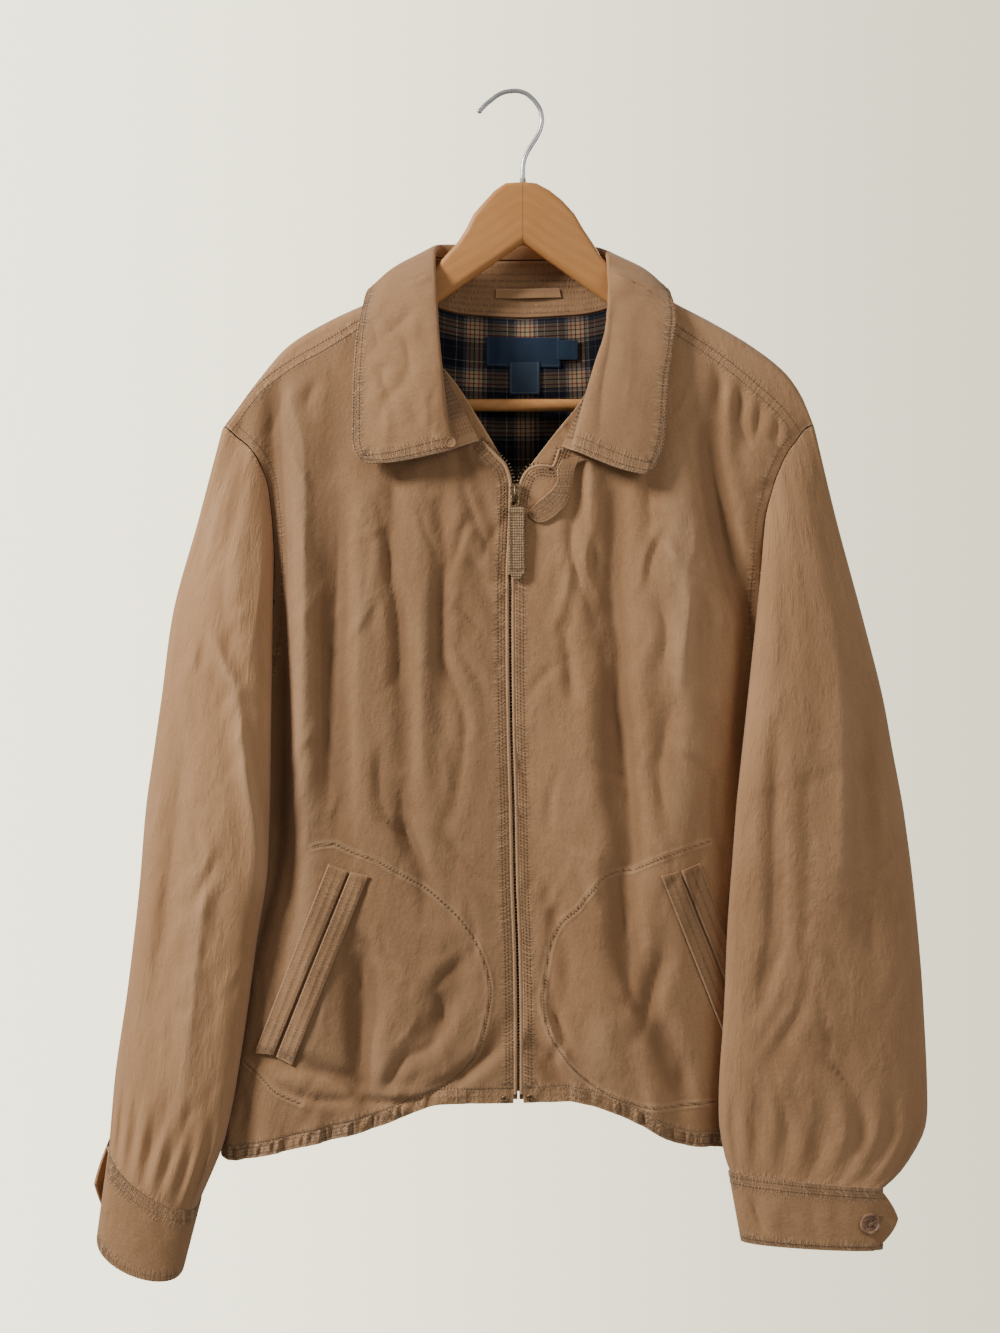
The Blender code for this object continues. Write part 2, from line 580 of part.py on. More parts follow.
def cuff(side, u, v):
    """A band that starts under its own end at the outer edge and goes round behind. v runs down it."""
    button_face = 1.0 if side == "left" else -1.0
    angle = button_face * (math.radians(CUFF_START) - u * math.radians(CUFF_START + 360))
    from_middle = np.abs(2 * v - 1)
    cut_back = np.where(v < 0.5, CUFF_POINT[0], CUFF_POINT[1]) * from_middle * ease((u - 0.8) / 0.2)
    angle = angle + button_face * np.radians(cut_back)
    out = CUFF_LAP * ease(u * 1.15 - 0.12)
    points = cuff_ring(side, angle, v, out)
    tab = CUFF_TAB[side] * ease((u - 0.93) / 0.07) * (1 - from_middle)
    return points + unit(np.array(CUFF[side][2], float)) * tab[..., None]


# ---------------------------------------------------------------- collar

# roll and outer edge of the leaf at stations round the neck, from the right front end to the left one
COLLAR = [
    # name, roll x, y, z, edge x, y, z
    ("right end", -59, -49, -298, -124, -44, -306),
    ("right low", -62, -46, -265, -129, -41, -287),
    ("right chest", -63, -40, -231, -129, -34, -250),
    ("right front", -64.5, -29, -195, -127, -25, -206),
    ("right shoulder", -66, -13, -150, -123, -15.5, -181),
    ("right ridge", -67, 0, -129, -117, 3, -160),
    ("right behind", -62, 17, -121, -101, 25, -178),
    ("back right", -30, 25, -119, -46, 36, -192),
    ("centre back", 7, 26, -118, 7, 39, -195),
    ("back left", 44, 25, -119, 60, 36, -192),
    ("left behind", 70, 17, -124, 112, 25, -178),
    ("left ridge", 75, 0, -132, 122, 3, -160),
    ("left shoulder", 76, -14, -158, 128, -19, -187),
    ("left front", 74, -29, -196, 125, -26, -209),
    ("left chest", 66, -40, -228, 120, -35, -243),
    ("left low", 57, -46, -262, 117, -41, -285),
    ("left end", 49, -50, -298, 108, -45, -316),
]
NECK_SHARES = (0.0, 0.06, 0.115, 0.175, 0.245, 0.295, 0.345, 0.42, 0.50, 0.58, 0.635, 0.688, 0.745, 0.815,
               0.88, 0.94, 1.0)
COLLAR_COLUMNS = ((0, 0.04, 0.08, 0.12, 0.155, 0.19, 0.22) + NECK_COLUMNS
                  + (0.78, 0.81, 0.845, 0.88, 0.92, 0.96, 1.0))
LEAF_LIFT = 5.0         # how far the leaf bulges out between its roll and its edge
STAND_TOP = 0.72        # share of the way from neck seam to roll where stand and leaf are joined
COLLAR_ROOM = 2.6       # least distance from the leaf's underside to the body


def neck_loop():
    right = line_on(on_front, NECK_FRONT["right"])
    left = line_on(on_front, NECK_FRONT["left"][::-1])
    return Chain(right, back_neck_line(), left, shares=NECK_JOINTS)


def collar_frame(s):
    """Neck seam, roll and edge points at a share of the way round the neck."""
    place = neck_loop()(s)
    neck = body(place[..., 0], place[..., 1])
    neck[..., 1] -= 1.0 * ease((np.abs(s - 0.5) - 0.22) / 0.05)
    rows = np.array([row[1:] for row in COLLAR], float)
    roll = np.stack([smooth_curve(NECK_SHARES, rows[:, k], s) for k in (0, 1, 2)], axis=-1)
    edge = np.stack([smooth_curve(NECK_SHARES, rows[:, k], s) for k in (3, 4, 5)], axis=-1)
    return neck, roll, edge


def collar(s, t):
    """t runs from the neck seam at 0 over the roll at 1 to the leaf's edge at 2."""
    neck, roll, edge = collar_frame(s)
    outward = (roll + edge) / 2 - np.array([CENTRE, -8.0, -215.0])
    outward = outward / np.linalg.norm(outward, axis=-1)[..., None]
    waist = (neck + roll) / 2
    crown = (roll + edge) / 2 + LEAF_LIFT * outward
    knots = [2 * neck - waist, neck, waist, roll, crown, edge, 2 * edge - crown]
    at = np.clip(t, 0, 2) * 2
    k = np.clip(np.floor(at), 0, 3).astype(int)
    f = (at - k)[..., None]
    stack = np.stack(knots, axis=0)
    pick = [np.take_along_axis(stack, (k + shift)[None, ..., None], axis=0)[0] for shift in range(4)]
    before, start, end, after = pick
    return 0.5 * (2 * start + (end - before) * f + (2 * before - 5 * start + 4 * end - after) * f ** 2
                  + (3 * start - before - 3 * end + after) * f ** 3)


def clear_of_body(points, room):
    """Points moved off the body's outer side until they have this much room."""
    x, y, z = np.moveaxis(points, -1, 0)
    below = RIDGE("z", x) - z - RAIL
    reach = np.maximum(np.hypot(y, below), 0.01)
    room = room + 2.4 * np.exp(-((below + RAIL) / 14) ** 2)
    push = np.maximum((RAIL + room) / reach, 1.0)
    over = below <= 0
    path = path_from_drop(below + RAIL)
    front = body(x, -path)[..., 1] - room
    behind = body(x, path)[..., 1] + room
    off = np.where(y < 0, np.minimum(y, front), np.maximum(y, behind))
    return np.stack([x, np.where(over, y * push, off), np.where(over, z - below * (1 - push), z)], axis=-1)


def collar_place(u):
    count = len(COLLAR_COLUMNS) - 1
    return np.interp(u * count, range(count + 1), COLLAR_COLUMNS)


def stand_sheet(u, v):
    u = collar_place(u)
    start = GAP / 20
    return collar(u, start + v * (STAND_TOP - start - GAP / 80))


def leaf_sheet(u, v):
    u = collar_place(u)
    start = STAND_TOP + GAP / 20
    corner = np.abs(2 * u - 1) ** 24
    end = 2 - 0.05 * corner
    t = start + v * (end - start)
    points = collar(u, t)
    settled = ease((t - 1.0) / 0.25)[..., None]
    return points * (1 - settled) + clear_of_body(points, COLLAR_ROOM) * settled


# ---------------------------------------------------------------- making the solids

def clear_scene():
    for thing in list(bpy.data.objects):
        bpy.data.objects.remove(thing, do_unlink=True)
    for group in list(bpy.data.collections):
        bpy.data.collections.remove(group)


def new_collection(name):
    group = bpy.data.collections.new(name)
    bpy.context.scene.collection.children.link(group)
    return group


PAINT = {
    "twill": ((0.42, 0.27, 0.15), 0.9, 0.0),
    "lining": ((0.05, 0.05, 0.07), 0.9, 0.0),
    "label": ((0.03, 0.06, 0.12), 0.7, 0.0),
    "webbing": ((0.36, 0.24, 0.13), 0.85, 0.0),
    "zip_metal": ((0.20, 0.15, 0.10), 0.4, 1.0),
    "button": ((0.24, 0.16, 0.09), 0.45, 0.0),
    "wood": ((0.62, 0.35, 0.13), 0.45, 0.0),
    "steel": ((0.62, 0.62, 0.62), 0.3, 1.0),
}


def material(name):
    found = bpy.data.materials.get(name)
    if found:
        return found
    colour, roughness, metallic = PAINT[name]
    made = bpy.data.materials.new(name)
    made.use_nodes = True
    shader = made.node_tree.nodes["Principled BSDF"]
    shader.inputs["Base Color"].default_value = (*colour, 1.0)
    shader.inputs["Roughness"].default_value = roughness
    shader.inputs["Metallic"].default_value = metallic
    made.diffuse_color = (*colour, 1.0)
    return made


def keep(name, mesh, finish):
    for face in mesh.polygons:
        face.use_smooth = True
    mesh.materials.append(material(finish))
    thing = bpy.data.objects.new(name, mesh)
    JACKET.objects.link(thing)
    return thing


def add_wall(thing, wall, outwards):
    solidify = thing.modifiers.new("wall", "SOLIDIFY")
    solidify.thickness = wall * MM
    solidify.offset = 1.0 if outwards else -1.0
    return thing


def sheet(name, surface, columns, rows, wall, finish="twill", outwards=False, ring=False, grade=(1, 1)):
    """A grid whose points the surface gives for u and v from 0 to 1, with a wall on it."""
    grid = bmesh.new()
    bmesh.ops.create_grid(grid, x_segments=columns, y_segments=rows, size=0.5)
    u = np.clip(np.array([vert.co.x for vert in grid.verts]) + 0.5, 0, 1)
    v = np.clip(np.array([vert.co.y for vert in grid.verts]) + 0.5, 0, 1)
    points = surface(u ** grade[0], v ** grade[1]) * MM
    for vert, point in zip(grid.verts, points):
        vert.co = point
    if ring:
        bmesh.ops.remove_doubles(grid, verts=grid.verts, dist=0.00001)
    mesh = bpy.data.meshes.new(name)
    grid.to_mesh(mesh)
    grid.free()
    return add_wall(keep(name, mesh, finish), wall, outwards)


def lathe(name, profile, place, turn, sides, finish, flip=False):
    """A profile of radius and height turned round the Z axis, then laid with its axis turned about X."""
    outline = bmesh.new()
    verts = [outline.verts.new((radius * MM, 0, height * MM)) for radius, height in profile]
    for start, end in zip(verts, verts[1:]):
        outline.edges.new((start, end))
    if profile[0][0] > 0:
        outline.edges.new((verts[-1], verts[0]))
    mesh = bpy.data.meshes.new(name)
    outline.to_mesh(mesh)
    outline.free()
    thing = keep(name, mesh, finish)
    screw = thing.modifiers.new("turned", "SCREW")
    screw.steps = sides
    screw.render_steps = sides
    screw.use_merge_vertices = True
    screw.merge_threshold = 0.00001
    screw.use_normal_calculate = True
    screw.use_normal_flip = flip
    thing.location = np.array(place) * MM
    thing.rotation_euler = turn
    return thing


# ---------------------------------------------------------------- pieces

def make_fronts():
    for side in ("right", "left"):
        top, hem, centre, outer = front_edges(side)

        def panel(u, v, edges=(top, hem, centre, outer)):
            place = patch(*edges, u, v)
            points = body(place[..., 0], place[..., 1])
            steps = len(SEAM_COLUMNS)
            seam = edges[0](u)
            knots = edges[0](np.arange(steps + 1) / steps)
            corners = body(knots[..., 0], knots[..., 1])
            straight = [np.interp(u * steps, range(steps + 1), column) for column in corners.T]
            off_seam = np.stack(straight, axis=-1) - body(seam[..., 0], seam[..., 1])
            return points + off_seam * np.clip(1 - v * 12, 0, 1)[..., None]

        sheet(f"front_{side}", panel, 14, 32, TWILL, outwards=side == "left", grade=(1, 1.2))


BACK_ROWS = (0, 0.0123, 0.0246, 0.0338, 0.0415, 0.0492, 0.0569, 0.0646, 0.0738, 0.087, 0.11, 0.146, 0.2, 0.27,
             0.354, 0.446, 0.546, 0.654, 0.77, 0.885, 1.0)


def make_back():
    top, hem, right, left = back_edges()

    rows = len(BACK_ROWS) - 1
    columns = len(BACK_COLUMNS) - 1

    def panel(u, v):
        u = np.interp(u * columns, range(columns + 1), BACK_COLUMNS)
        v = np.interp(v * rows, range(rows + 1), BACK_ROWS)
        place = patch(top, hem, right, left, u, v, inset=0.6)
        return body(place[..., 0], place[..., 1])

    sheet("back", panel, columns, rows, TWILL, outwards=False)


def make_hem_casings():
    for side in ("right", "left"):
        top = hem_line(side, CASING_HEIGHT - GAP)
        foot = hem_line(side, 0)

        def casing(u, v, top=top, foot=foot):
            u = 0.001 + 0.995 * u
            place = (1 - v)[..., None] * top(u) + v[..., None] * foot(u)
            return body(place[..., 0], place[..., 1])

        sheet(f"hem_casing_{side}", casing, 14, 1, CASING, outwards=side == "left")

    columns = len(BACK_COLUMNS) - 1
    top = back_hem_line(CASING_HEIGHT - GAP)
    foot = back_hem_line(0)

    def back_casing(u, v):
        u = np.interp(u * columns, range(columns + 1), BACK_COLUMNS)
        u = 0.004 + 0.992 * u
        place = (1 - v)[..., None] * top(u) + v[..., None] * foot(u)
        return body(place[..., 0], place[..., 1])

    sheet("hem_casing_back", back_casing, columns, 1, CASING, outwards=False)


def make_sleeves():
    for side in ("right", "left"):
        sheet(f"sleeve_{side}", lambda u, v, side=side: sleeve(side, u, v), round(360 / CUFF_STEP), 19, TWILL,
              outwards=side == "right", ring=True)
        sheet(f"cuff_{side}", lambda u, v, side=side: cuff(side, u, v),
              round((360 + CUFF_START) / CUFF_STEP), 4, CUFF_WALL, outwards=True)


def make_collar():
    columns = len(COLLAR_COLUMNS) - 1
    sheet("collar_stand", stand_sheet, columns, 3, COLLAR_WALL, outwards=True)
    sheet("collar_leaf", leaf_sheet, columns, 6, COLLAR_WALL, outwards=True)


# ---------------------------------------------------------------- zip

TAPE_BACK = 2.1         # from the front's outer side to the tape's front
TAPE_WALL = 0.8
TAPE_FOOT = -807.0
SLIDER = (-0.8, -328.5)


def edge_offset(side, share, away):
    """A place beside a front's zip edge, away from it towards the gap."""
    line = zip_edge(side, TAPE_FOOT)
    here = line(share)
    ahead = line(np.minimum(share + 0.004, 1.0)) - line(np.maximum(share - 0.004, 0.0))
    ahead = ahead / np.linalg.norm(ahead, axis=-1)[..., None]
    across = np.stack([-ahead[..., 1], ahead[..., 0]], axis=-1) * -SIGN[side]
    return here + across * away[..., None]


def tape(side, u, v):
    across = 2.9 - 11.5 * u
    place = edge_offset(side, v * 0.999, across)
    points = body(place[..., 0], place[..., 1])
    points[..., 1] += TAPE_BACK + 1.0 * ease((-775 - points[..., 2]) / 20)
    return points


def box(name, size, place, finish, bevel=0.0, origin=None):
    """A block of a size about a place, with its edges rounded. origin moves the turning point only."""
    block = bmesh.new()
    bmesh.ops.create_cube(block, size=1.0)
    pivot = np.array(origin if origin is not None else place, float)
    shift = np.array(place, float) - pivot
    for vert in block.verts:
        vert.co = (np.array(vert.co) * np.array(size) + shift) * MM
    mesh = bpy.data.meshes.new(name)
    block.to_mesh(mesh)
    block.free()
    thing = keep(name, mesh, finish)
    thing.location = pivot * MM
    if bevel:
        rounding = thing.modifiers.new("rounded", "BEVEL")
        rounding.width = bevel * MM
        rounding.segments = 2
        rounding.limit_method = "ANGLE"
    return thing


def wire(name, points, radius, finish, closed=False, sides=2, origin=(0, 0, 0)):
    curve = bpy.data.curves.new(name, "CURVE")
    curve.dimensions = "3D"
    curve.bevel_depth = radius * MM
    curve.bevel_resolution = sides
    curve.use_fill_caps = True
    run = curve.splines.new("POLY")
    run.points.add(len(points) - 1)
    for point, place in zip(run.points, points):
        point.co = (*((np.array(place, float) - np.array(origin, float)) * MM), 1.0)
    run.use_cyclic_u = closed
    curve.materials.append(material(finish))
    thing = bpy.data.objects.new(name, curve)
    thing.location = np.array(origin, float) * MM
    JACKET.objects.link(thing)
    return thing


def make_zip():
    for side in ("right", "left"):
        sheet(f"zip_tape_{side}", lambda u, v, side=side: tape(side, u, v), 1, 24, TAPE_WALL,
              finish="webbing", outwards=side == "left")
    x, z = SLIDER
    y = float(front_points(x, z)[1])
    box("zip_slider", (8.4, 3.0, 15.0), (x, y - 2.4, z), "zip_metal", bevel=1.0)
    face = y - 3.9
    hinge = (x, face - 2.1, z - 3.0)
    arch = [(x, face - 0.5 - 3.4 * math.sin(math.pi * t), z + 5.5 - 12.0 * t) for t in np.linspace(0, 1, 9)]
    wire("zip_bail", [(px, py - 0.5, pz) for px, py, pz in arch], 0.7, "zip_metal", sides=1)
    link = [(x - 2.9, hinge[1], hinge[2]), (x + 2.9, hinge[1], hinge[2]), (x + 2.9, hinge[1], hinge[2] - 7.5),
            (x - 2.9, hinge[1], hinge[2] - 7.5)]
    wire("zip_pull_link", link, 0.6, "zip_metal", closed=True, sides=1, origin=hinge)
    box("zip_pull_tab", (13.0, 2.6, 57.0), (x + 1.2, hinge[1], hinge[2] - 8.4 - 28.5), "webbing", bevel=0.6,
        origin=hinge)


# ---------------------------------------------------------------- what shows in the neck

LINING_BACK = TWILL + 1.4


def lining(u, v):
    """The plaid lining behind the neck, from the neck seam down as far as the open collar shows it."""
    top = neck_loop()(0.355 + 0.285 * u)
    x = top[..., 0] * (1 + 0.1 * v)
    foot = on_back(x, -338.0)[..., 1]
    points = body(x, (top[..., 1] + 0.8) * (1 - v) + foot * v)
    points[..., 1] -= LINING_BACK
    return points


def on_lining(x, z, out):
    points = body(x, on_back(x, z)[..., 1])
    points[..., 1] -= LINING_BACK + LINING + out
    return points


def label(name, left, right, top, foot, out, wall, slope=0.0):
    def face(u, v):
        x = left + (right - left) * u
        return on_lining(x, top + (foot - top) * v + slope * (x - left), out)

    sheet(name, face, 4, 2, wall, finish="label", outwards=False)


def loop_on_stand(u, v):
    """The locker loop, sewn down at both ends and slack between them."""
    place = 0.452 + 0.098 * u
    points = collar(place, 0.26 + 0.13 * v)
    points[..., 1] -= COLLAR_WALL + GAP + 2.2 * np.sin(math.pi * u) ** 2
    return points


def facing(side, u, v):
    """The strip behind the neckline that turns towards the zip."""
    rows = FACING[side]
    edge = Line([(x, z) for x, z, width in rows])(v)
    width = np.array([row[2] for row in rows], float)
    reach = np.interp(v, np.linspace(0, 1, len(width)), width)
    x = edge[..., 0] + SIGN[side] * reach * u
    points = front_points(x, edge[..., 1])
    points[..., 1] += 3.4
    return points


# x and z of the edge that shows, and how wide the strip is
FACING = {
    "right": [(-62, -222, 14), (-46, -242, 13), (-31, -266, 12), (-19, -286, 12), (-11, -300, 9)],
    "left": [(60, -240, 16), (49, -258, 20), (36, -274, 24), (25, -288, 24), (9, -309, 24)],
}


def make_neck_pieces():
    sheet("lining", lining, 14, 7, LINING, finish="lining", outwards=False)
    label("label_main", -24, 37, -196, -220, GAP, 0.7, slope=-0.02)
    label("label_size", 34, 51, -199, -215, GAP + 1.0, 0.6)
    label("label_care", -5, 20, -217, -243, GAP + 1.0, 0.6)
    sheet("locker_loop", loop_on_stand, 8, 1, 1.2, outwards=True)
    for side in ("right", "left"):
        sheet(f"facing_{side}", lambda u, v, side=side: facing(side, u, v), 2, 8, 1.0, outwards=side == "left")


# ---------------------------------------------------------------- pockets, strap and buttons

# corners of the right pocket's two welts, top outer, top inner, foot inner, foot outer
WELTS = {
    "outer": ((-148, -621), (-132.3, -626.5), (-192.3, -773.5), (-208, -773)),
    "inner": ((-130.5, -627), (-116, -630), (-177, -781), (-190.3, -775)),
}
WELT_WALL = 1.3
WELT_OUT = {"right": 3.1, "left": 2.5}


def welt(side, corners, u, v):
    corners = np.array(corners, float)
    if side == "left":
        corners[:, 0] = -corners[:, 0] - 2
    u1 = u[..., None]
    v1 = v[..., None]
    top = (1 - u1) * corners[0] + u1 * corners[1]
    foot = (1 - u1) * corners[3] + u1 * corners[2]
    place = (1 - v1) * top + v1 * foot
    return front_points(place[..., 0], place[..., 1], out=WELT_OUT[side])


# centre and half width of the strap, how far it stands off the front, from its sewn end to its point
STRAP = [
    # x, z, half dx, half dz, stand-off
    (43, -301, 7.0, 1.5, 4.2),
    (39, -312, 6.8, -1.0, 4.4),
    (38.3, -321, 5.5, -3.2, 4.6),
    (35, -330, 5.0, -6.5, 3.8),
    (29, -336.5, 4.5, -7.5, 3.0),
    (22, -342, 3.2, -8.2, 2.5),
    (15, -345.5, 1.8, -6.0, 2.4),
    (10.5, -345.5, 0.6, -2.2, 2.4),
]


def strap(u, v):
    rows = np.array(STRAP, float)
    along = np.linspace(0, 1, len(rows))
    x, z, dx, dz, off = (smooth_curve(along, column, v) for column in rows.T)
    side = 2 * u - 1
    points = front_points(x + dx * side, z + dz * side)
    points[..., 1] -= off
    return points


def button(name, place, radius, thick, turn, finish="button"):
    profile = [(0, thick), (radius * 0.9, thick), (radius, thick * 0.55), (radius * 0.85, 0), (0, 0)]
    return lathe(name, profile, place, turn, 14, finish)


def cuff_button(side, angle, down):
    """A button that lies flat on a cuff, at degrees from the cuff's outer edge."""
    angle = np.float64(math.radians(angle))
    place = cuff_ring(side, angle, down, CUFF_LAP + BUTTON_ROOM)
    along = cuff_ring(side, angle + 0.2, down) - cuff_ring(side, angle - 0.2, down)
    downwards = cuff_ring(side, angle, down + 0.2) - cuff_ring(side, angle, down - 0.2)
    away = np.cross(along, downwards)
    away *= np.sign(np.dot(away, place - np.array(CUFF[side][0], float)))
    button(f"cuff_button_{side}", place, 8.5, 2.2, Vector(away).to_track_quat("Z", "Y").to_euler())


def make_pockets():
    for side in ("right", "left"):
        for place, corners in WELTS.items():
            sheet(f"pocket_{place}_welt_{side}", lambda u, v, side=side, c=corners: welt(side, c, u, v),
                  1, 12, WELT_WALL, outwards=side == "right")


def make_fastenings():
    sheet("throat_strap", strap, 2, 14, 1.6, outwards=True)
    x, z = -51.0, -290.0
    button("collar_button", (x, -49.8, z), 4.2, 1.6, (math.pi / 2, 0, 0), finish="twill")
    cuff_button("left", 43.0, 0.56)
    cuff_button("right", -57.0, 0.77)
    for side, x, z in (("right", -9, -805.5), ("left", 11, -804.5)):
        y = float(front_points(x, z)[1])
        profile = [(1.1, 0.7), (2.3, 0.7), (2.7, 0), (1.1, 0)]
        lathe(f"eyelet_{side}", profile, (x, y - 0.5, z), (math.pi / 2, 0, 0), 12, "zip_metal",
              flip=True)


# ---------------------------------------------------------------- hanger

HANGER_THICK = 13.0
HANGER_BEVEL = 4.6
UNDER_CLOTH = TWILL + 1.1
HANGER_HEAD = [(6, -73), (17, -74), (28, -80), (38, -88), (48, -99), (55, -111), (63, -123), (69, -133)]
HANGER_HEAD_RIGHT = [(-8, -74), (-17, -80), (-27, -91), (-34, -99), (-40, -111), (-47, -122), (-57, -133)]
HANGER_UNDER = [(178, -262), (178, -246), (150, -228), (126, -209), (74, -170), (6, -122)]
HANGER_END = 206.0
BAR_Z = -253.5
BAR_RADIUS = 5.0
HOOK = [(-29, -15), (-25, -10.5), (-20, -6.3), (-14, -1.9), (-8, 0.6), (0, 1.5), (7, 0.0), (12, -3.2),
        (17, -8.6), (20.5, -15), (21.6, -22), (20.4, -29), (17.6, -35.5), (13.5, -42), (9.4, -49), (6.8, -56),
        (6.0, -63), (6.0, -72.6)]


def under_ridge(x):
    """A place square below the cloth's ridge, a little lower where the collar stands on it."""
    slope = (RIDGE("z", x + 3.0) - RIDGE("z", x - 3.0)) / 6.0
    room = UNDER_CLOTH + 3.0 * math.exp(-((abs(x - CENTRE) - 92) / 20) ** 2)
    room += 1.6 * float(ease((abs(x - CENTRE) - 130) / 40))
    steep = math.hypot(1.0, slope)
    return x + slope * room / steep, float(RIDGE("z", x)) - room / steep


def hanger_outline():
    left = [under_ridge(x) for x in (84.0, 96, 108, 122, 140, 158, 176, 192, 206)]
    right = [under_ridge(x) for x in (-72.0, -84, -96, -110, -128, -146, -164, -180, -194)]
    end_left = [(HANGER_END + 2, -232), (HANGER_END + 3, -246), (HANGER_END - 3, -258), (HANGER_END - 10, -262)]
    end_right = [(2 * CENTRE - x, z) for x, z in end_left]
    under_right = [(2 * CENTRE - x, z) for x, z in HANGER_UNDER[:-1]]
    return HANGER_HEAD + left + end_left + HANGER_UNDER + under_right[::-1] + end_right[::-1] + right[::-1] + \
        HANGER_HEAD_RIGHT[::-1]


def make_hanger():
    outline = bmesh.new()
    half = HANGER_THICK / 2
    verts = [outline.verts.new((x * MM, -half * MM, float(z) * MM)) for x, z in hanger_outline()]
    face = outline.faces.new(verts)
    made = bmesh.ops.extrude_face_region(outline, geom=[face])
    for vert in made["geom"]:
        if isinstance(vert, bmesh.types.BMVert):
            vert.co.y = half * MM
    bmesh.ops.recalc_face_normals(outline, faces=outline.faces)
    mesh = bpy.data.meshes.new("hanger_body")
    outline.to_mesh(mesh)
    outline.free()
    thing = keep("hanger_body", mesh, "wood")
    rounding = thing.modifiers.new("rounded", "BEVEL")
    rounding.width = HANGER_BEVEL * MM
    rounding.segments = 2
    rounding.limit_method = "ANGLE"
    rounding.angle_limit = math.radians(60)
    low = 2 * CENTRE - 178 + 0.4
    high = 178 - 0.4
    points = [(low, 0, BAR_Z), ((low + high) / 2, 0, BAR_Z), (high, 0, BAR_Z)]
    wire("hanger_bar", points, BAR_RADIUS, "wood", sides=5)
    wire("hanger_hook", [(x, 0, z) for x, z in HOOK], 1.5, "steel", sides=2)


def main():
    make_fronts()
    make_back()
    make_hem_casings()
    make_sleeves()
    make_collar()
    make_zip()
    make_neck_pieces()
    make_pockets()
    make_fastenings()
    make_hanger()


clear_scene()
JACKET = new_collection("Harrington jacket")
main()
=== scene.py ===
"""A harrington jacket on a wooden hanger, dressed in its cloth, stitching and hardware.

Sizes are in millimetres and the meshes are made in metres. Right and left are the wearer's: right is at -X.
The body, sleeves and collar are the same functions that the solids are made from, with the creases added.
"""
from functools import partial
import math

import bpy
import numpy as np
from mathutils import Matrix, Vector
from mathutils.kdtree import KDTree


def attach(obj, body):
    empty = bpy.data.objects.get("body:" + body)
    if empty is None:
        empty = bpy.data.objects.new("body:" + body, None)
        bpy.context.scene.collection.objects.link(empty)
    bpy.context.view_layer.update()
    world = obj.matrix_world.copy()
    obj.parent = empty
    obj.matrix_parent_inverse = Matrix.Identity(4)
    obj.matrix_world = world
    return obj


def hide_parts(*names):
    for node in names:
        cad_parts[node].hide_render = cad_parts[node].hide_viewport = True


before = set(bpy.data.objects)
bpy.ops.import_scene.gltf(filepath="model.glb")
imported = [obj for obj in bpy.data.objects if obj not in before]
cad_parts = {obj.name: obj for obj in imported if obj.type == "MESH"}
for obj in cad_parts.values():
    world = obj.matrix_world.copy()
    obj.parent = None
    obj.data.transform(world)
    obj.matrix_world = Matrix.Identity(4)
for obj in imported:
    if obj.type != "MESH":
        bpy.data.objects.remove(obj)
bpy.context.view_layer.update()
bpy.ops.object.select_all(action="DESELECT")

MM = 0.001
GAP = 0.3               # between pieces that meet at a seam
TWILL = 1.4             # wall of the shell cloth
LINING = 1.0            # wall of the plaid lining
CASING = 2.2            # wall of the turned hem
CUFF_WALL = 2.0
COLLAR_WALL = 1.9
RAIL = 9.0              # radius of the cloth over the hanger's top edge
CHEST = 36.0            # how far the front stands out before the rail
BACK = 11.0             # how far the back stands out behind it
SIDE_Y = 2.0            # depth of the side seams
SIDE_FOLD = 9.0         # radius of the fold at the sides
CASING_HEIGHT = 11.0
CENTRE = 6.0            # the hanger's middle
SOFTEN = 2.0            # narrow folds are spread by this much
SIGN = {"right": -1.0, "left": 1.0}
SIDES = ("right", "left")


# ---------------------------------------------------------------- curves and tables

def smooth_curve(places, values, at):
    """Values between the places, on a cubic that never overshoots them."""
    places = np.asarray(places, float)
    values = np.asarray(values, float)
    at = np.clip(at, places[0], places[-1])
    step = np.diff(places)
    slope = np.diff(values) / step
    tangent = np.concatenate(([slope[0]], np.zeros(len(slope) - 1), [slope[-1]]))
    turning = slope[:-1] * slope[1:] > 0
    middle = np.zeros(len(slope) - 1)
    middle[turning] = 2 * slope[:-1][turning] * slope[1:][turning] / (slope[:-1] + slope[1:])[turning]
    tangent[1:-1] = middle
    k = np.clip(np.searchsorted(places, at, side="right") - 1, 0, len(step) - 1)
    t = (at - places[k]) / step[k]
    start = (1 + 2 * t) * (1 - t) ** 2 * values[k] + t * (1 - t) ** 2 * step[k] * tangent[k]
    end = t * t * (3 - 2 * t) * values[k + 1] - t * t * (1 - t) * step[k] * tangent[k + 1]
    return start + end


def ease(t):
    t = np.clip(t, 0.0, 1.0)
    return t * t * (3 - 2 * t)


class Table:
    """Rows of named columns, read at any place along the first column."""

    def __init__(self, names, *rows):
        self.names = names.split()
        self.rows = np.array(sorted(rows), float)

    def __call__(self, name, at):
        return smooth_curve(self.rows[:, 0], self.rows[:, self.names.index(name)], at)


class Line:
    """A smooth line through points, read by the share of its length from 0 to 1."""

    def __init__(self, points):
        self.points = np.array(points, float)
        self.length = np.concatenate(([0.0], np.cumsum(np.linalg.norm(np.diff(self.points, axis=0), axis=1))))

    def __call__(self, share):
        at = np.asarray(share, float) * self.length[-1]
        return np.stack([smooth_curve(self.length, column, at) for column in self.points.T], axis=-1)


class Chain:
    """Lines joined end to end with corners kept, read by the share of the whole length or by given shares."""

    def __init__(self, *lines, shares=None):
        self.lines = lines
        ends = np.cumsum([line.length[-1] for line in lines])
        self.ends = np.concatenate(([0.0], shares or ends / ends[-1]))

    def __call__(self, share):
        share = np.asarray(share, float)
        place = self.lines[0](np.zeros_like(share))
        for line, start, end in zip(self.lines, self.ends[:-1], self.ends[1:]):
            here = (share >= start)[..., None]
            place = np.where(here, line(np.clip((share - start) / (end - start), 0, 1)), place)
        return place


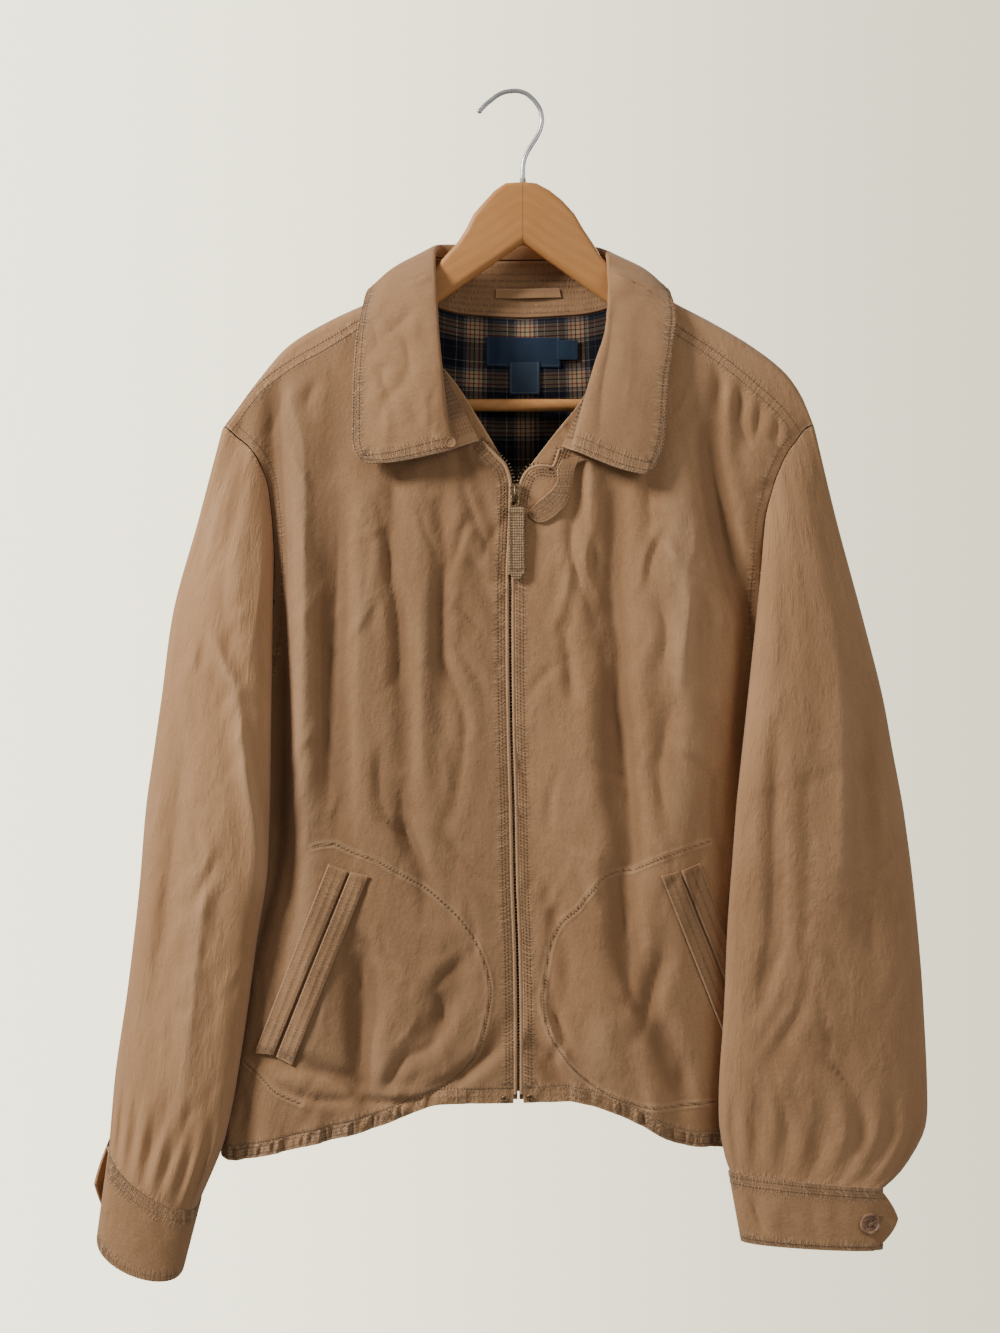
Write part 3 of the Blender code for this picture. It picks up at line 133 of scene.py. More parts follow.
def patch(top, bottom, near, far, u, v, inset=GAP / 2):
    """A surface between four edges that stops short of each by the inset. near is at u=0, far at u=1."""
    across = np.linalg.norm(far(v) - near(v), axis=-1)
    down = np.linalg.norm(bottom(u) - top(u), axis=-1)
    u = u + (1 - 2 * u) * inset / across
    v = v + (1 - 2 * v) * inset / down
    u1 = u[..., None]
    v1 = v[..., None]
    corners = (1 - u1) * ((1 - v1) * top(0 * u) + v1 * bottom(0 * u))
    corners = corners + u1 * ((1 - v1) * top(0 * u + 1) + v1 * bottom(0 * u + 1))
    return (1 - v1) * top(u) + v1 * bottom(u) + (1 - u1) * near(v) + u1 * far(v) - corners


# ---------------------------------------------------------------- the body's form

RIDGE = Table("x z", (-252, -305), (-238, -274), (-227, -259), (-211, -237), (-183, -205), (-150, -185),
              (-114, -168), (-86, -151), (-60, -141), (6, -137), (72, -141), (98, -151), (124, -168),
              (158, -186), (190, -205), (218, -227), (231, -245), (243, -274), (257, -305))

# where each sleeve's inner edge hangs, measured out from the zip: the front falls back towards it
INNER = {
    "right": Table("z x", (-150, 212), (-349, 197), (-428, 195), (-600, 196), (-668, 204), (-729, 214),
                   (-806, 224), (-870, 236)),
    "left": Table("z x", (-150, 232), (-303, 216), (-350, 206), (-428, 196), (-532, 180), (-634, 170),
                  (-755, 164), (-870, 164)),
}
# side seams
SIDE = {
    "right": Table("z x", (-490, 262), (-528, 236), (-600, 234), (-700, 234), (-800, 237), (-870, 239)),
    "left": Table("z x", (-490, 266), (-528, 240), (-600, 239), (-700, 240), (-800, 243), (-870, 246)),
}
FALL = Table("place depth", (0.0, 1.0), (0.3, 1.0), (0.55, 0.95), (0.75, 0.82), (0.88, 0.62), (1.0, 0.36),
             (1.12, 0.18), (1.3, 0.08), (1.6, 0.0))
HANG = Table("z depth", (-870, 0.84), (-800, 0.95), (-700, 1.0), (-300, 1.0), (-130, 1.0))
ZIP = Table("z x", (-830, 2), (-727, 2), (-649, -0.5), (-570, -2), (-492, -4), (-413, -4.5), (-323, -1.5))

# long folds that hang in the cloth: ridges stand out, troughs are negative
FRONT_FOLDS = [
    # x0, z0, x1, z1, bow, half width, height: the right front's, then the left's
    (-196, -232, -182, -640, 2, 10, -9), (-181, -250, -166, -770, -6, 13, 6),
    (-146, -262, -132, -620, 4, 16, -6), (-122, -310, -112, -600, 2, 12, 2.5),
    (-98, -306, -86, -640, -5, 10, -4), (-76, -320, -68, -610, 3, 12, 3), (-60, -330, -50, -560, 3, 8, -2.5),
    (-47, -295, -13, -380, -5, 5, -3.5), (-36, -392, -9, -445, -4, 6, -2.5),
    (-50, -420, -10, -470, 4, 7, -2.5), (-104, -540, -62, -655, 4, 9, -4),
    (-124, -690, -120, -800, 0, 13, -8), (-104, -745, -108, -805, 0, 9, 4),
    (-44, -690, -78, -760, -8, 11, -5), (-62, -796, -6, -745, 6, 7, -4),
    (-205, -778, -112, -806, -10, 7, -4.5),
    (160, -232, 158, -285, 0, 7, -3), (182, -246, 178, -300, 0, 7, -3.5), (150, -270, 186, -430, 6, 12, -8),
    (186, -400, 178, -560, 0, 9, -7), (128, -300, 140, -520, 3, 15, 5), (78, -325, 82, -560, 3, 13, -5.5),
    (60, -300, 68, -430, -3, 8, 3), (50, -325, 66, -450, -4, 7, -3), (40, -440, 46, -500, 0, 6, -2),
    (135, -540, 128, -620, 0, 14, 3), (80, -500, 90, -620, 4, 15, -7), (84, -625, 92, -720, 3, 11, -8),
    (115, -690, 98, -755, 0, 9, -4.5), (110, -745, 132, -806, 4, 10, -7), (28, -650, 36, -740, -6, 7, -3.5),
    (16, -765, 42, -805, 3, 6, -4), (66, -740, 70, -790, 0, 14, 4),
]
BACK_FOLDS = [
    (-150, -250, -166, -560, 6, 16, -5), (-112, -230, -120, -640, 5, 18, 4.5),
    (-74, -330, -66, -760, -6, 15, -5),
    (-14, -300, -20, -700, 8, 20, 4), (30, -260, 26, -600, -5, 14, -4.5),
    (70, -300, 78, -740, 6, 18, 4.5), (118, -240, 128, -620, 6, 15, -5), (164, -280, 170, -690, -5, 16, 4),
    (-120, -660, -110, -838, 0, 13, -5), (60, -690, 44, -840, 0, 13, -5),
    (-190, -560, -196, -800, 3, 12, -4), (196, -560, 204, -800, -3, 12, -4),
]


def relief(folds, x, z):
    """How far the folds lift the cloth at each point."""
    lift = np.zeros(np.broadcast(x, z).shape)
    for x0, z0, x1, z1, bow, half_width, height in folds:
        length = math.hypot(x1 - x0, z1 - z0)
        along_x = (x1 - x0) / length
        along_z = (z1 - z0) / length
        along = ((x - x0) * along_x + (z - z0) * along_z) / length
        off = (x - x0) * along_z - (z - z0) * along_x
        inside = np.clip(along, 0, 1)
        off = off - bow * 4 * inside * (1 - inside)
        past = np.abs(along - inside) * length
        fade = np.sqrt(np.sin(np.pi * np.clip(0.06 + 0.88 * inside, 0, 1)))
        soft = math.hypot(half_width, SOFTEN)
        height = height * half_width / soft
        lift = lift + height * fade * np.exp(-(off / soft) ** 2 - (past / (1.6 * soft)) ** 2)
    return lift


class Crease:
    """A soft trough or ridge along a curved line, fading towards its ends."""

    def __init__(self, height, half_width, *points):
        line = Line(points)
        steps = max(int(line.length[-1] / 6), 3)
        self.points = line(np.linspace(0, 1, steps + 1))
        self.height = height
        self.half_width = half_width

    def lift(self, x, z):
        reach = 4 * self.half_width
        low = self.points.min(axis=0) - reach
        high = self.points.max(axis=0) + reach
        near = (x > low[0]) & (x < high[0]) & (z > low[1]) & (z < high[1])
        lift = np.zeros(x.shape)
        if not near.any():
            return lift
        px = x[near]
        pz = z[near]
        off = np.full(px.shape, 1e9)
        share = np.zeros(px.shape)
        steps = len(self.points) - 1
        for k in range(steps):
            start = self.points[k]
            along = self.points[k + 1] - start
            reach = (px - start[0]) * along[0] + (pz - start[1]) * along[1]
            t = np.clip(reach / np.dot(along, along), 0, 1)
            away = np.hypot(px - start[0] - t * along[0], pz - start[1] - t * along[1])
            closer = away < off
            off = np.where(closer, away, off)
            share = np.where(closer, (k + t) / steps, share)
        fade = np.sin(math.pi * (0.06 + 0.88 * share)) ** 0.7
        beside = (off - 2.4 * self.half_width) / (1.2 * self.half_width)
        sharp = np.exp(-off / (0.5 * self.half_width))
        profile = 0.4 * np.exp(-(off / self.half_width) ** 2) + 0.6 * sharp - 0.3 * np.exp(-beside ** 2)
        lift[near] = self.height * fade * profile
        return lift


def rumple(x, z, seed):
    """Small uneven waves of washed cloth, mostly upright."""
    wave = np.zeros(np.broadcast(x, z).shape)
    dice = np.random.default_rng(seed)
    for size in (88.0, 61.0, 43.0, 31.0, 23.0, 17.0):
        turn = dice.uniform(-0.5, 0.5)
        phase, bend_phase = dice.uniform(0, 2 * math.pi, 2)
        across = x * math.cos(turn) + z * math.sin(turn) * 0.5
        bend = 0.22 * size * np.sin(z / size * 1.7 + x / size * 0.6 + bend_phase)
        wave = wave + size / 100 * np.sin((across + bend) * 2 * math.pi / size + phase)
    return wave


def crumples(seed, count, left, right, foot, top, lean=0.0):
    """Small creases scattered over a stretch of cloth, mostly upright, uneven in length and depth."""
    dice = np.random.default_rng(seed)
    made = []
    for _ in range(count):
        x, z = dice.uniform(left, right), dice.uniform(foot, top)
        turn = dice.normal(lean, 0.45)
        half = dice.uniform(7, 26)
        bend = dice.uniform(-4, 4)
        ahead = np.array((math.sin(turn), math.cos(turn)))
        aside = np.array((ahead[1], -ahead[0])) * bend
        here = np.array((x, z))
        height = dice.choice((-1, 1), p=(0.62, 0.38)) * dice.uniform(0.45, 1.15)
        width = dice.uniform(2.6, 4.4)
        made.append(Crease(height, width, here - ahead * half, here + aside, here + ahead * half))
    return made


def crease_rows(*rows):
    """Creases from rows of a height, a half width, then x and z of each point along the line."""
    return [Crease(*row[:2], *zip(row[2::2], row[3::2])) for row in rows]


FRONT_CREASES = crease_rows(
    # right front
    (-2.6, 7, -198, -235, -194, -294, -184, -381, -184, -492, -192, -629, -209, -701, -228, -822),
    (2.0, 7, -183, -246, -169, -292, -167, -334, -168, -484, -185, -634, -197, -689),
    (-1.6, 5, -160, -236, -165, -247, -167, -258), (-2.2, 6, -140, -334, -143, -413, -147, -452, -151, -602),
    (1.6, 6, -122, -373, -125, -480, -125, -602),
    (-2.0, 4.5, -97, -309, -99, -354, -100, -395, -95, -416, -92, -490),
    (-1.3, 3.5, -110, -333, -103, -366, -96, -401),
    (-2.0, 5, -112, -544, -103, -585, -84, -602, -73, -628, -73, -666),
    (-1.4, 3.5, -91, -557, -88, -593, -76, -619), (1.4, 6, -76, -413, -75, -490, -74, -563),
    (-1.9, 4.5, -61, -339, -55, -374, -59, -416, -59, -457, -47, -484, -40, -515, -45, -557, -50, -586),
    (-1.9, 4, -46, -302, -39, -329, -28, -360, -12, -387), (-1.2, 3.5, -39, -350, -45, -370, -51, -389),
    (-1.4, 3.5, -35, -383, -25, -395, -14, -402), (-1.6, 4, -49, -416, -30, -436, -16, -451),
    (-1.5, 4, -50, -444, -35, -468, -20, -492), (-1.6, 4, -59, -598, -40, -619, -25, -634, -16, -641),
    (-2.0, 5, -40, -694, -64, -721, -57, -737, -66, -762, -88, -774),
    (-2.6, 11, -127, -689, -122, -726, -125, -774, -122, -798), (1.8, 6, -110, -752, -110, -775, -110, -798),
    (-1.8, 4, -103, -798, -94, -783, -84, -769), (-1.8, 4, -69, -803, -45, -791, -25, -774, -11, -762),
    (-0.9, 3, -197, -789, -182, -785, -168, -785, -140, -789, -124, -795),
    (-1.3, 3, -196, -791, -184, -800, -170, -805, -150, -808, -134, -808, -124, -797),
    (0.5, 6, -188, -792, -160, -796, -135, -801), (-1.7, 3, -124, -808, -100, -809, -70, -806),
    (0.8, 4, -118, -801, -95, -802, -72, -799),
    # left front
    (-1.6, 4.5, 159, -224, 163, -238, 161, -259), (-1.6, 4, 179, -241, 179, -254, 178, -267),
    (-1.6, 4, 196, -255, 194, -269, 192, -283), (-1.3, 3, 210, -267, 210, -275, 209, -283),
    (-3.0, 7, 153, -283, 161, -333, 167, -370, 173, -399, 182, -416),
    (1.4, 3.5, 109, -358, 128, -380, 146, -393), (-1.5, 5, 103, -312, 105, -331, 106, -350),
    (-2.8, 9, 76, -333, 76, -366, 74, -406, 82, -457, 78, -490, 84, -532, 89, -580, 91, -619, 81, -629,
     86, -666, 89, -726),
    (1.8, 5, 59, -300, 58, -354, 55, -383, 66, -412), (-1.5, 4, 48, -316, 43, -374, 49, -395, 63, -436),
    (1.2, 3.5, 39, -370, 43, -383, 37, -416, 29, -436), (-1.3, 3.5, 36, -433, 41, -457, 43, -490),
    (1.8, 6, 140, -399, 132, -457, 128, -490), (-1.4, 4, 113, -416, 119, -436, 113, -467),
    (-1.8, 6, 123, -496, 113, -544, 118, -593), (-1.8, 5, 164, -542, 154, -568, 157, -600, 166, -619),
    (-1.8, 5, 113, -696, 104, -737, 97, -757), (-3.0, 7, 108, -745, 123, -767, 132, -786, 130, -805),
    (-1.6, 4, 26, -639, 29, -677, 24, -701, 31, -737, 36, -762, 55, -786, 74, -805),
    (-2.2, 5, 14, -762, 29, -774, 36, -798), (1.3, 3.5, 10, -722, 25, -745, 38, -772, 52, -789),
    (-1.3, 3, 16, -718, 31, -742, 45, -768, 58, -784), (-1.4, 3, 35, -757, 32, -768, 26, -779),
)
BACK_CREASES = [
    Crease(0.8 * each.height, 1.2 * each.half_width, *(each.points[::3] * (-0.95, 1.0) + (8.0, -12.0)))
    for each in FRONT_CREASES if len(each.points) > 12]
SLEEVE_CREASES = {
    "right": crease_rows(
        (2.0, 6, -219, -285, -238, -335, -250, -405), (-2.2, 5, -216, -286, -222, -319, -230, -366),
        (-2.4, 3, -232, -276, -240, -291, -246, -309, -250, -340),
        (-2.0, 3, -225, -281, -234, -300, -240, -322), (1.6, 4, -214, -290, -213, -310, -213, -335),
        (1.6, 6, -206, -304, -202, -382, -208, -452), (2.2, 4.5, -239, -439, -221, -478, -206, -488),
        (2.6, 5, -219, -484, -214, -517, -211, -548, -204, -590, -199, -639),
        (-1.6, 4, -233, -614, -244, -634, -256, -656), (-1.8, 7, -262, -520, -272, -610, -286, -700),
        (1.6, 7, -240, -600, -250, -700, -262, -800), (-1.8, 5, -272, -800, -282, -835, -290, -862),
        (-1.6, 4, -256, -812, -266, -842, -276, -868),
    ),
    "left": crease_rows(
        (-2.0, 4, 232, -276, 231, -292, 229, -309), (-2.0, 4, 240, -275, 241, -300, 241, -330),
        (-2.0, 5, 221, -295, 216, -312, 214, -330),
        (-2.2, 5, 204, -511, 202, -592, 200, -671, 194, -707, 186, -741),
        (-2.2, 4.5, 216, -721, 204, -742, 190, -767),
        (-2.2, 4.5, 232, -757, 243, -776, 258, -791, 266, -815),
        (-1.3, 3.5, 274, -542, 277, -551, 280, -560), (-1.5, 4, 270, -651, 271, -671, 271, -691),
        (-1.6, 4, 303, -765, 310, -771, 316, -779), (1.6, 8, 252, -430, 258, -540, 254, -660),
        (-1.5, 6, 228, -560, 230, -640, 224, -700), (-2.2, 4, 269, -843, 274, -856, 278, -868),
        (-2.4, 5, 222, -804, 227, -830, 232, -856), (-2.2, 4.5, 246, -826, 254, -846, 261, -864),
        (-2.2, 4.5, 179, -816, 188, -835, 199, -852), (-1.8, 4, 206, -800, 212, -826, 218, -850),
        (-1.7, 4, 233, -689, 225, -729, 197, -776),
        (-1.7, 4, 237, -711, 244, -745, 250, -782, 265, -799, 276, -822),
        (-1.7, 4.5, 211, -590, 209, -676, 200, -707, 192, -738),
        (-1.3, 3.5, 281, -661, 281, -678, 280, -695), (-1.2, 3, 257, -649, 261, -655, 265, -662),
        (-1.3, 3, 240, -694, 251, -702, 262, -711), (-1.4, 3.5, 318, -779, 325, -793, 332, -807),
    ),
}


def creases(rows, x, z):
    x, z = np.broadcast_arrays(np.asarray(x, float), np.asarray(z, float))
    lift = np.zeros(x.size)
    for crease in rows:
        lift += crease.lift(x.ravel(), z.ravel())
    return lift.reshape(x.shape)


FRONT_CRUMPLES = crumples(21, 170, -225, 225, -825, -245)
BACK_CRUMPLES = crumples(22, 130, -225, 225, -825, -200)
SLEEVE_CRUMPLES = {"right": crumples(23, 64, -310, -205, -850, -290, 0.12),
                   "left": crumples(24, 66, 170, 325, -850, -290, -0.1)}
LEAF_CREASES = crease_rows(
    (-1.3, 4, -81, -181, -96, -197, -105, -203),
    (-1.5, 4.5, -96, -200, -86, -213, -84, -232, -92, -245, -103, -256, -107, -272),
    (-1.1, 3.5, -113, -193, -111, -203, -108, -214), (-1.1, 3.5, -85, -261, -75, -275, -66, -282),
    (1.1, 4, -116, -231, -110, -225, -103, -220), (1.0, 4, -71, -250, -70, -264, -70, -278),
    (-1.3, 4.5, 78, -175, 74, -211, 68, -244, 65, -283), (0.7, 6, 92, -190, 90, -230, 84, -275),
) + crumples(31, 9, -122, -62, -284, -165, -0.3) + [
    Crease(0.5 * each.height, 1.5 * each.half_width, *each.points)
    for each in crumples(32, 7, 75, 128, -284, -165)]
DEEPER = 1.4           # the placed creases are this much deeper than their rows say


def front_lift(x, z):
    placed = creases(FRONT_CREASES, x, z) * DEEPER + creases(FRONT_CRUMPLES, x, z) * 1.15
    return relief(FRONT_FOLDS, x, z) * 0.85 + placed + 0.34 * rumple(x, z, 3)


def back_lift(x, z):
    placed = creases(BACK_CREASES, x, z) * DEEPER + creases(BACK_CRUMPLES, x, z) * 1.15
    return relief(BACK_FOLDS, x, z) * 0.75 + placed + 0.42 * rumple(x, z, 5)


def sleeve_lift(side, x, z):
    seed = 7 if side == "right" else 11
    placed = creases(SLEEVE_CREASES[side], x, z) * DEEPER + creases(SLEEVE_CRUMPLES[side], x, z)
    if side == "left":
        placed = placed * 0.62
    return relief(SLEEVE_FOLDS[side], x, z) * 0.5 + placed + 0.26 * rumple(x, z, seed)


def path_from_drop(drop):
    """Length along the cloth from the ridge to a point that lies so far below it."""
    drop = np.maximum(drop, 0.0)
    round_part = RAIL * np.arccos(1 - np.clip(drop / RAIL, 0, 1))
    return np.where(drop < RAIL, round_part, RAIL * math.pi / 2 + drop - RAIL)


def drop_from_path(path):
    path = np.abs(path)
    quarter = RAIL * math.pi / 2
    round_part = RAIL * (1 - np.cos(np.minimum(path, quarter) / RAIL))
    return np.where(path < quarter, round_part, RAIL + path - quarter)


def by_side(tables, column, x, z):
    return np.where(x < 0, tables["right"](column, z), tables["left"](column, z))


def hem_wave(x, z, hem):
    """Soft gathers that the elastic pulls into the sides above the hem."""
    near_hem = ease(1 - (z - hem) / 60)
    at_sides = ease((np.abs(x) - 60) / 60)
    return 1.8 * near_hem * at_sides * np.sin(x * 2 * math.pi / 34)


def body(x, path):
    """Points of the jacket's body. path runs from the ridge: below 0 down the front, above 0 down the
    back."""
    x = np.asarray(x, float)
    drop = drop_from_path(path)
    z = RIDGE("z", x) - drop
    roof = RAIL * np.sin(np.minimum(np.abs(path) / RAIL, math.pi / 2))
    place = np.abs(x - ZIP("x", z)) / by_side(INNER, "x", x, z)
    near_top = ease((drop - 12) / 45)
    side_roof = roof * (1 - 0.55 * ease((place - 0.98) / 0.28))
    front = side_roof + CHEST * (1 - np.exp(-drop / 110)) * FALL("depth", place) * HANG("depth", z)
    front = front + near_top * front_lift(x, z) + hem_wave(x, z, FRONT_HEM("z", x))
    front = np.maximum(front, roof - 0.3 - 30 * ease((drop - 52) / 45))
    behind = roof + BACK * (1 - np.exp(-drop / 90)) * (1 - 0.4 * np.minimum(place, 1.3) ** 2)
    behind = behind + near_top * back_lift(x, z) + hem_wave(x + 9, z, FRONT_HEM("z", x))
    behind = np.maximum(behind, roof - 0.3 - 30 * ease((drop - 52) / 45))
    y = np.where(path < 0, -front, behind)
    into_fold = np.clip((np.abs(x) - by_side(SIDE, "x", x, z)) / SIDE_FOLD + 1, 0, 1)
    y = SIDE_Y + (y - SIDE_Y) * np.sqrt(1 - into_fold ** 2)
    return np.stack([x, y, z], axis=-1)


FRONT_HEM = Table("x z", (-250, -859), (-221, -859), (-199, -854), (-163, -844), (-133, -836), (-108, -828),
                  (-74, -814), (-55, -810), (-7, -809), (43, -808), (63, -812), (96, -826), (119, -839),
                  (140, -846), (163, -849), (200, -854), (250, -859))
BACK_LOWER = 5.0        # how far the back's hem hangs below the front's in the middle


def back_hem(x):
    return FRONT_HEM("z", x) - BACK_LOWER * (1 - np.minimum((x / 245) ** 2, 1))


def body_at(place):
    return body(place[..., 0], place[..., 1])


def on_front(x, z):
    """Place of a front point on the cloth: x and the path from the ridge."""
    x = np.asarray(x, float)
    return np.stack([x, -path_from_drop(RIDGE("z", x) - z)], axis=-1)


def on_back(x, z):
    x = np.asarray(x, float)
    return np.stack([x, path_from_drop(RIDGE("z", x) - z)], axis=-1)


def front_points(x, z, out=0.0):
    """Points on the front at x and z, moved out of the cloth by a distance."""
    points = body_at(on_front(x, z))
    points[..., 1] -= out
    return points


# ---------------------------------------------------------------- seam lines on the body

NECK_FRONT = {
    "right": [(-29, -287), (-46, -255), (-63, -221), (-80, -193), (-98, -175)],
    "left": [(37, -292), (53, -258), (68, -223), (88, -201), (112, -187)],
}
NECK_BACK = [(-80, -156), (-72, -167), (-60, -174), (-34, -179), (7, -181), (48, -179), (74, -174),
             (84, -168), (92, -158)]
NECK_JOINTS = [0.25, 0.75, 1.0]
NECK_OVER = (-88, 100)  # where the neck seam crosses the ridges
SHOULDER = {
    "right": [(-98, -175), (-128, -196), (-156, -213), (-186, -230), (-208, -248), (-229, -276)],
    "left": [(112, -187), (127, -198), (160, -220), (190, -244), (210, -262), (226, -283)],
}
ARMHOLE_FRONT = {
    "right": [(-229, -276), (-207, -299), (-198, -326), (-194, -380), (-195, -428), (-204, -478),
              (-236, -528)],
    "left": [(226, -283), (214, -301), (205, -325), (199, -352), (195, -428), (204, -478), (240, -528)],
}
ARMHOLE_BACK = {
    "right": [(-238, -274), (-236, -300), (-233, -350), (-231, -410), (-232, -480), (-236, -528)],
    "left": [(243, -274), (241, -300), (237, -350), (235, -410), (236, -480), (240, -528)],
}
CENTRE_EDGE = {
    "right": [(-29, -287), (-17, -299), (-9, -308), (-5.5, -322)],
    "left": [(37, -292), (29, -309), (20, -308), (11, -311), (6, -319), (3.2, -330)],
}
ZIP_GAP = 3.6           # from the zip's middle to each front's folded edge


# columns of the back and of the collar: those round the neck are shared, so that their edges match
NECK_COLUMNS = (0.25, 0.266, 0.282, 0.298, 0.314, 0.332, 0.355, 0.39, 0.44, 0.50, 0.56, 0.61, 0.64, 0.66,
                0.676, 0.691, 0.706, 0.721, 0.736, 0.75)
SEAM_COLUMNS = tuple(k / 28 for k in range(7))
BACK_COLUMNS = SEAM_COLUMNS + NECK_COLUMNS + tuple(1 - share for share in SEAM_COLUMNS[::-1])


def line_on(place, rows):
    return Line([place(x, z) for x, z in rows])


def side_seam(face, side, end):
    return Line([face(SIGN[side] * SIDE[side]("x", z), z) for z in np.linspace(-528, end, 8)])


def hem_line(side, above):
    """Front hem line from the zip to the side seam, so far above the edge."""
    sign = SIGN[side]
    start = ZIP("x", -808.0) + sign * ZIP_GAP
    end = sign * SIDE[side]("x", -850.0)
    return Line([on_front(x, FRONT_HEM("z", x) + above) for x in np.linspace(start, end, 14)])


def zip_edge(side, end):
    sign = SIGN[side]
    levels = np.linspace(-345, end, 9)
    straight = [on_front(ZIP("x", z) + sign * ZIP_GAP, z) for z in levels]
    flare = [on_front(x, z) for x, z in CENTRE_EDGE[side]]
    return Line(flare + straight)


def front_edges(side):
    above = CASING_HEIGHT
    hem = hem_line(side, above)
    centre_end = FRONT_HEM("z", ZIP("x", -808.0) + SIGN[side] * ZIP_GAP) + above
    side_end = FRONT_HEM("z", SIGN[side] * SIDE[side]("x", -850.0)) + above
    neck = line_on(on_front, NECK_FRONT[side][::-1])
    seam = line_on(on_front, SHOULDER[side])
    armhole = line_on(on_front, ARMHOLE_FRONT[side])
    inner = Chain(neck, zip_edge(side, centre_end), shares=[0.2, 1.0])
    return seam, hem, inner, Chain(armhole, side_seam(on_front, side, side_end), shares=[0.46, 1.0])


def back_side_edge(side):
    over = [on_front(*SHOULDER[side][-1]), on_back(*ARMHOLE_BACK[side][0])]
    end = back_hem(SIGN[side] * SIDE[side]("x", -850.0)) + CASING_HEIGHT
    return Chain(Line(over), line_on(on_back, ARMHOLE_BACK[side]), side_seam(on_back, side, end))


def back_neck_line():
    """The neck seam over both ridges and behind, from the right shoulder seam to the left one."""
    start = on_front(*SHOULDER["right"][0])
    end = on_front(*SHOULDER["left"][0])
    behind = [on_back(x, z) for x, z in NECK_BACK]
    return Line([start, (NECK_OVER[0], 0)] + behind + [(NECK_OVER[1], 0), end])


def back_hem_line(above):
    start = -SIDE["right"]("x", -850.0)
    end = SIDE["left"]("x", -850.0)
    return Line([on_back(x, back_hem(x) + above) for x in np.linspace(start, end, 31)])


def back_edges():
    seam_right = line_on(on_front, SHOULDER["right"][::-1])
    seam_left = line_on(on_front, SHOULDER["left"])
    top = Chain(seam_right, back_neck_line(), seam_left, shares=NECK_JOINTS)
    return top, back_hem_line(CASING_HEIGHT), back_side_edge("right"), back_side_edge("left")


# ---------------------------------------------------------------- sleeves and cuffs

# z and x of the outer and the inner edge (x measured out from the zip), depth of each edge, half depths to
# the front and the back, and how far the front of the ring dips
SLEEVE = {
    "right": Table("share z_out x_out z_in x_in y_out y_in front back dip",
                   (0.00, -530, 291, -572, 195, -6, -32, 28, 22, 1),
                   (0.16, -580, 298, -625, 197, -6, -31, 28, 22, 2),
                   (0.42, -640, 303, -684, 206, -6, -28, 27, 22, 4),
                   (0.65, -720, 312, -763, 217, -7, -25, 25, 21, 7),
                   (0.86, -800, 323, -838, 231, -9, -23, 23, 19, 12),
                   (1.00, -846, 326, -890, 252, -13, -21, 20, 18, 17)),
    "left": Table("share z_out x_out z_in x_in y_out y_in front back dip",
                  (0.00, -530, 304, -572, 175, -4, -34, 24, 20, 0),
                  (0.16, -585, 314, -612, 172, -4, -34, 24, 20, 0),
                  (0.42, -650, 322, -668, 168, -5, -33, 23, 20, 0),
                  (0.65, -736, 329, -740, 165, -6, -32, 22, 19, 0),
                  (0.86, -818, 332, -810, 161, -8, -31, 20, 17, 0),
                  (0.95, -858, 324, -843, 162, -10, -29, 19, 15, 0),
                  (1.00, -880, 296, -863, 168, -14, -27, 14, 11, 0)),
}
OUTER_EDGE = {
    "right": [(-238, 0, -274), (-257, -1, -347), (-278, -4, -428), (-285, -6, -486), (-291, -6, -530)],
    "left": [(243, 0, -274), (260, -1, -348), (281, -3, -428), (297, -4, -492), (304, -4, -530)],
}
FAN = 8 / 19              # share of the sleeve's rows above its first full ring
GATHERS = 9             # gather waves on each face of a sleeve at the cuff
SLEEVE_FOLDS = {
    "right": [
        (-222, -288, -232, -375, 0, 7, -5), (-238, -300, -262, -420, 3, 8, 4),
        (-214, -320, -212, -470, 4, 9, 4), (-246, -438, -220, -486, 3, 6, 5),
        (-220, -500, -203, -640, -4, 8, 8), (-262, -520, -286, -700, 5, 9, -4),
        (-240, -600, -262, -800, 6, 11, 4), (-272, -640, -290, -800, 4, 9, -4),
        (-256, -655, -282, -705, 0, 6, 3),
    ],
    "left": [
        (240, -300, 262, -420, 3, 8, -4), (200, -400, 184, -620, -3, 9, 4), (206, -520, 204, -700, 4, 8, -4),
        (200, -690, 192, -740, 0, 8, -4), (283, -480, 296, -660, 6, 10, -4),
        (250, -440, 256, -640, -5, 14, 4), (279, -655, 284, -700, 0, 8, -4),
        (240, -755, 268, -795, -6, 8, -5), (226, -730, 198, -785, 0, 8, -4.5),
        (272, -820, 282, -870, 0, 7, -5), (232, -810, 240, -862, 0, 7, -5), (190, -800, 206, -850, 0, 7, -5),
    ],
}
# where the sleeve's back turns up into the front armhole: the turn's share of the way in, how far the seam
# stands out of the armhole there, over what share, and how far before the body it goes on, over what share
UNDER_ARM = {"right": 0.5, "left": 0.46, "bump": 2.0, "width": 0.15, "off": 2.6, "ramp": 0.05}
KNEE = {"right": 0.7, "left": 0.62}     # share of the front armhole where the sleeve's inner fold begins
CUFF = {
    # ring centre, half width vector and depth vector of the front, each at the top and foot
    "right": ((-289, -18, -868), (-300, -22, -930), (-36, -1, 22), (-34, -1, 12),
              (0, -19, -17), (0, -18, -17)),
    "left": ((231, -30, -872), (236, -30, -924), (61, 2, -7), (56, 2, -4), (0, -11, 0), (0, -11, 0)),
}
BULGE = [0.7, 0.6]      # how square the fan's bulge is, down it and across it
CUFF_REST = {"right": -0.8, "left": -0.8}   # the sleeve's end is tucked into the cuff
CUFF_BLEND = 0.9        # share of the sleeve where it starts to draw in to the cuff
CUFF_START = 30.0       # degrees that the under end of the band runs past the outer edge
CUFF_LAP = 3.4          # how far out the upper end lies over it
CUFF_TAB = {"right": 5.0, "left": 9.0}      # how far the pointed end runs past the fold
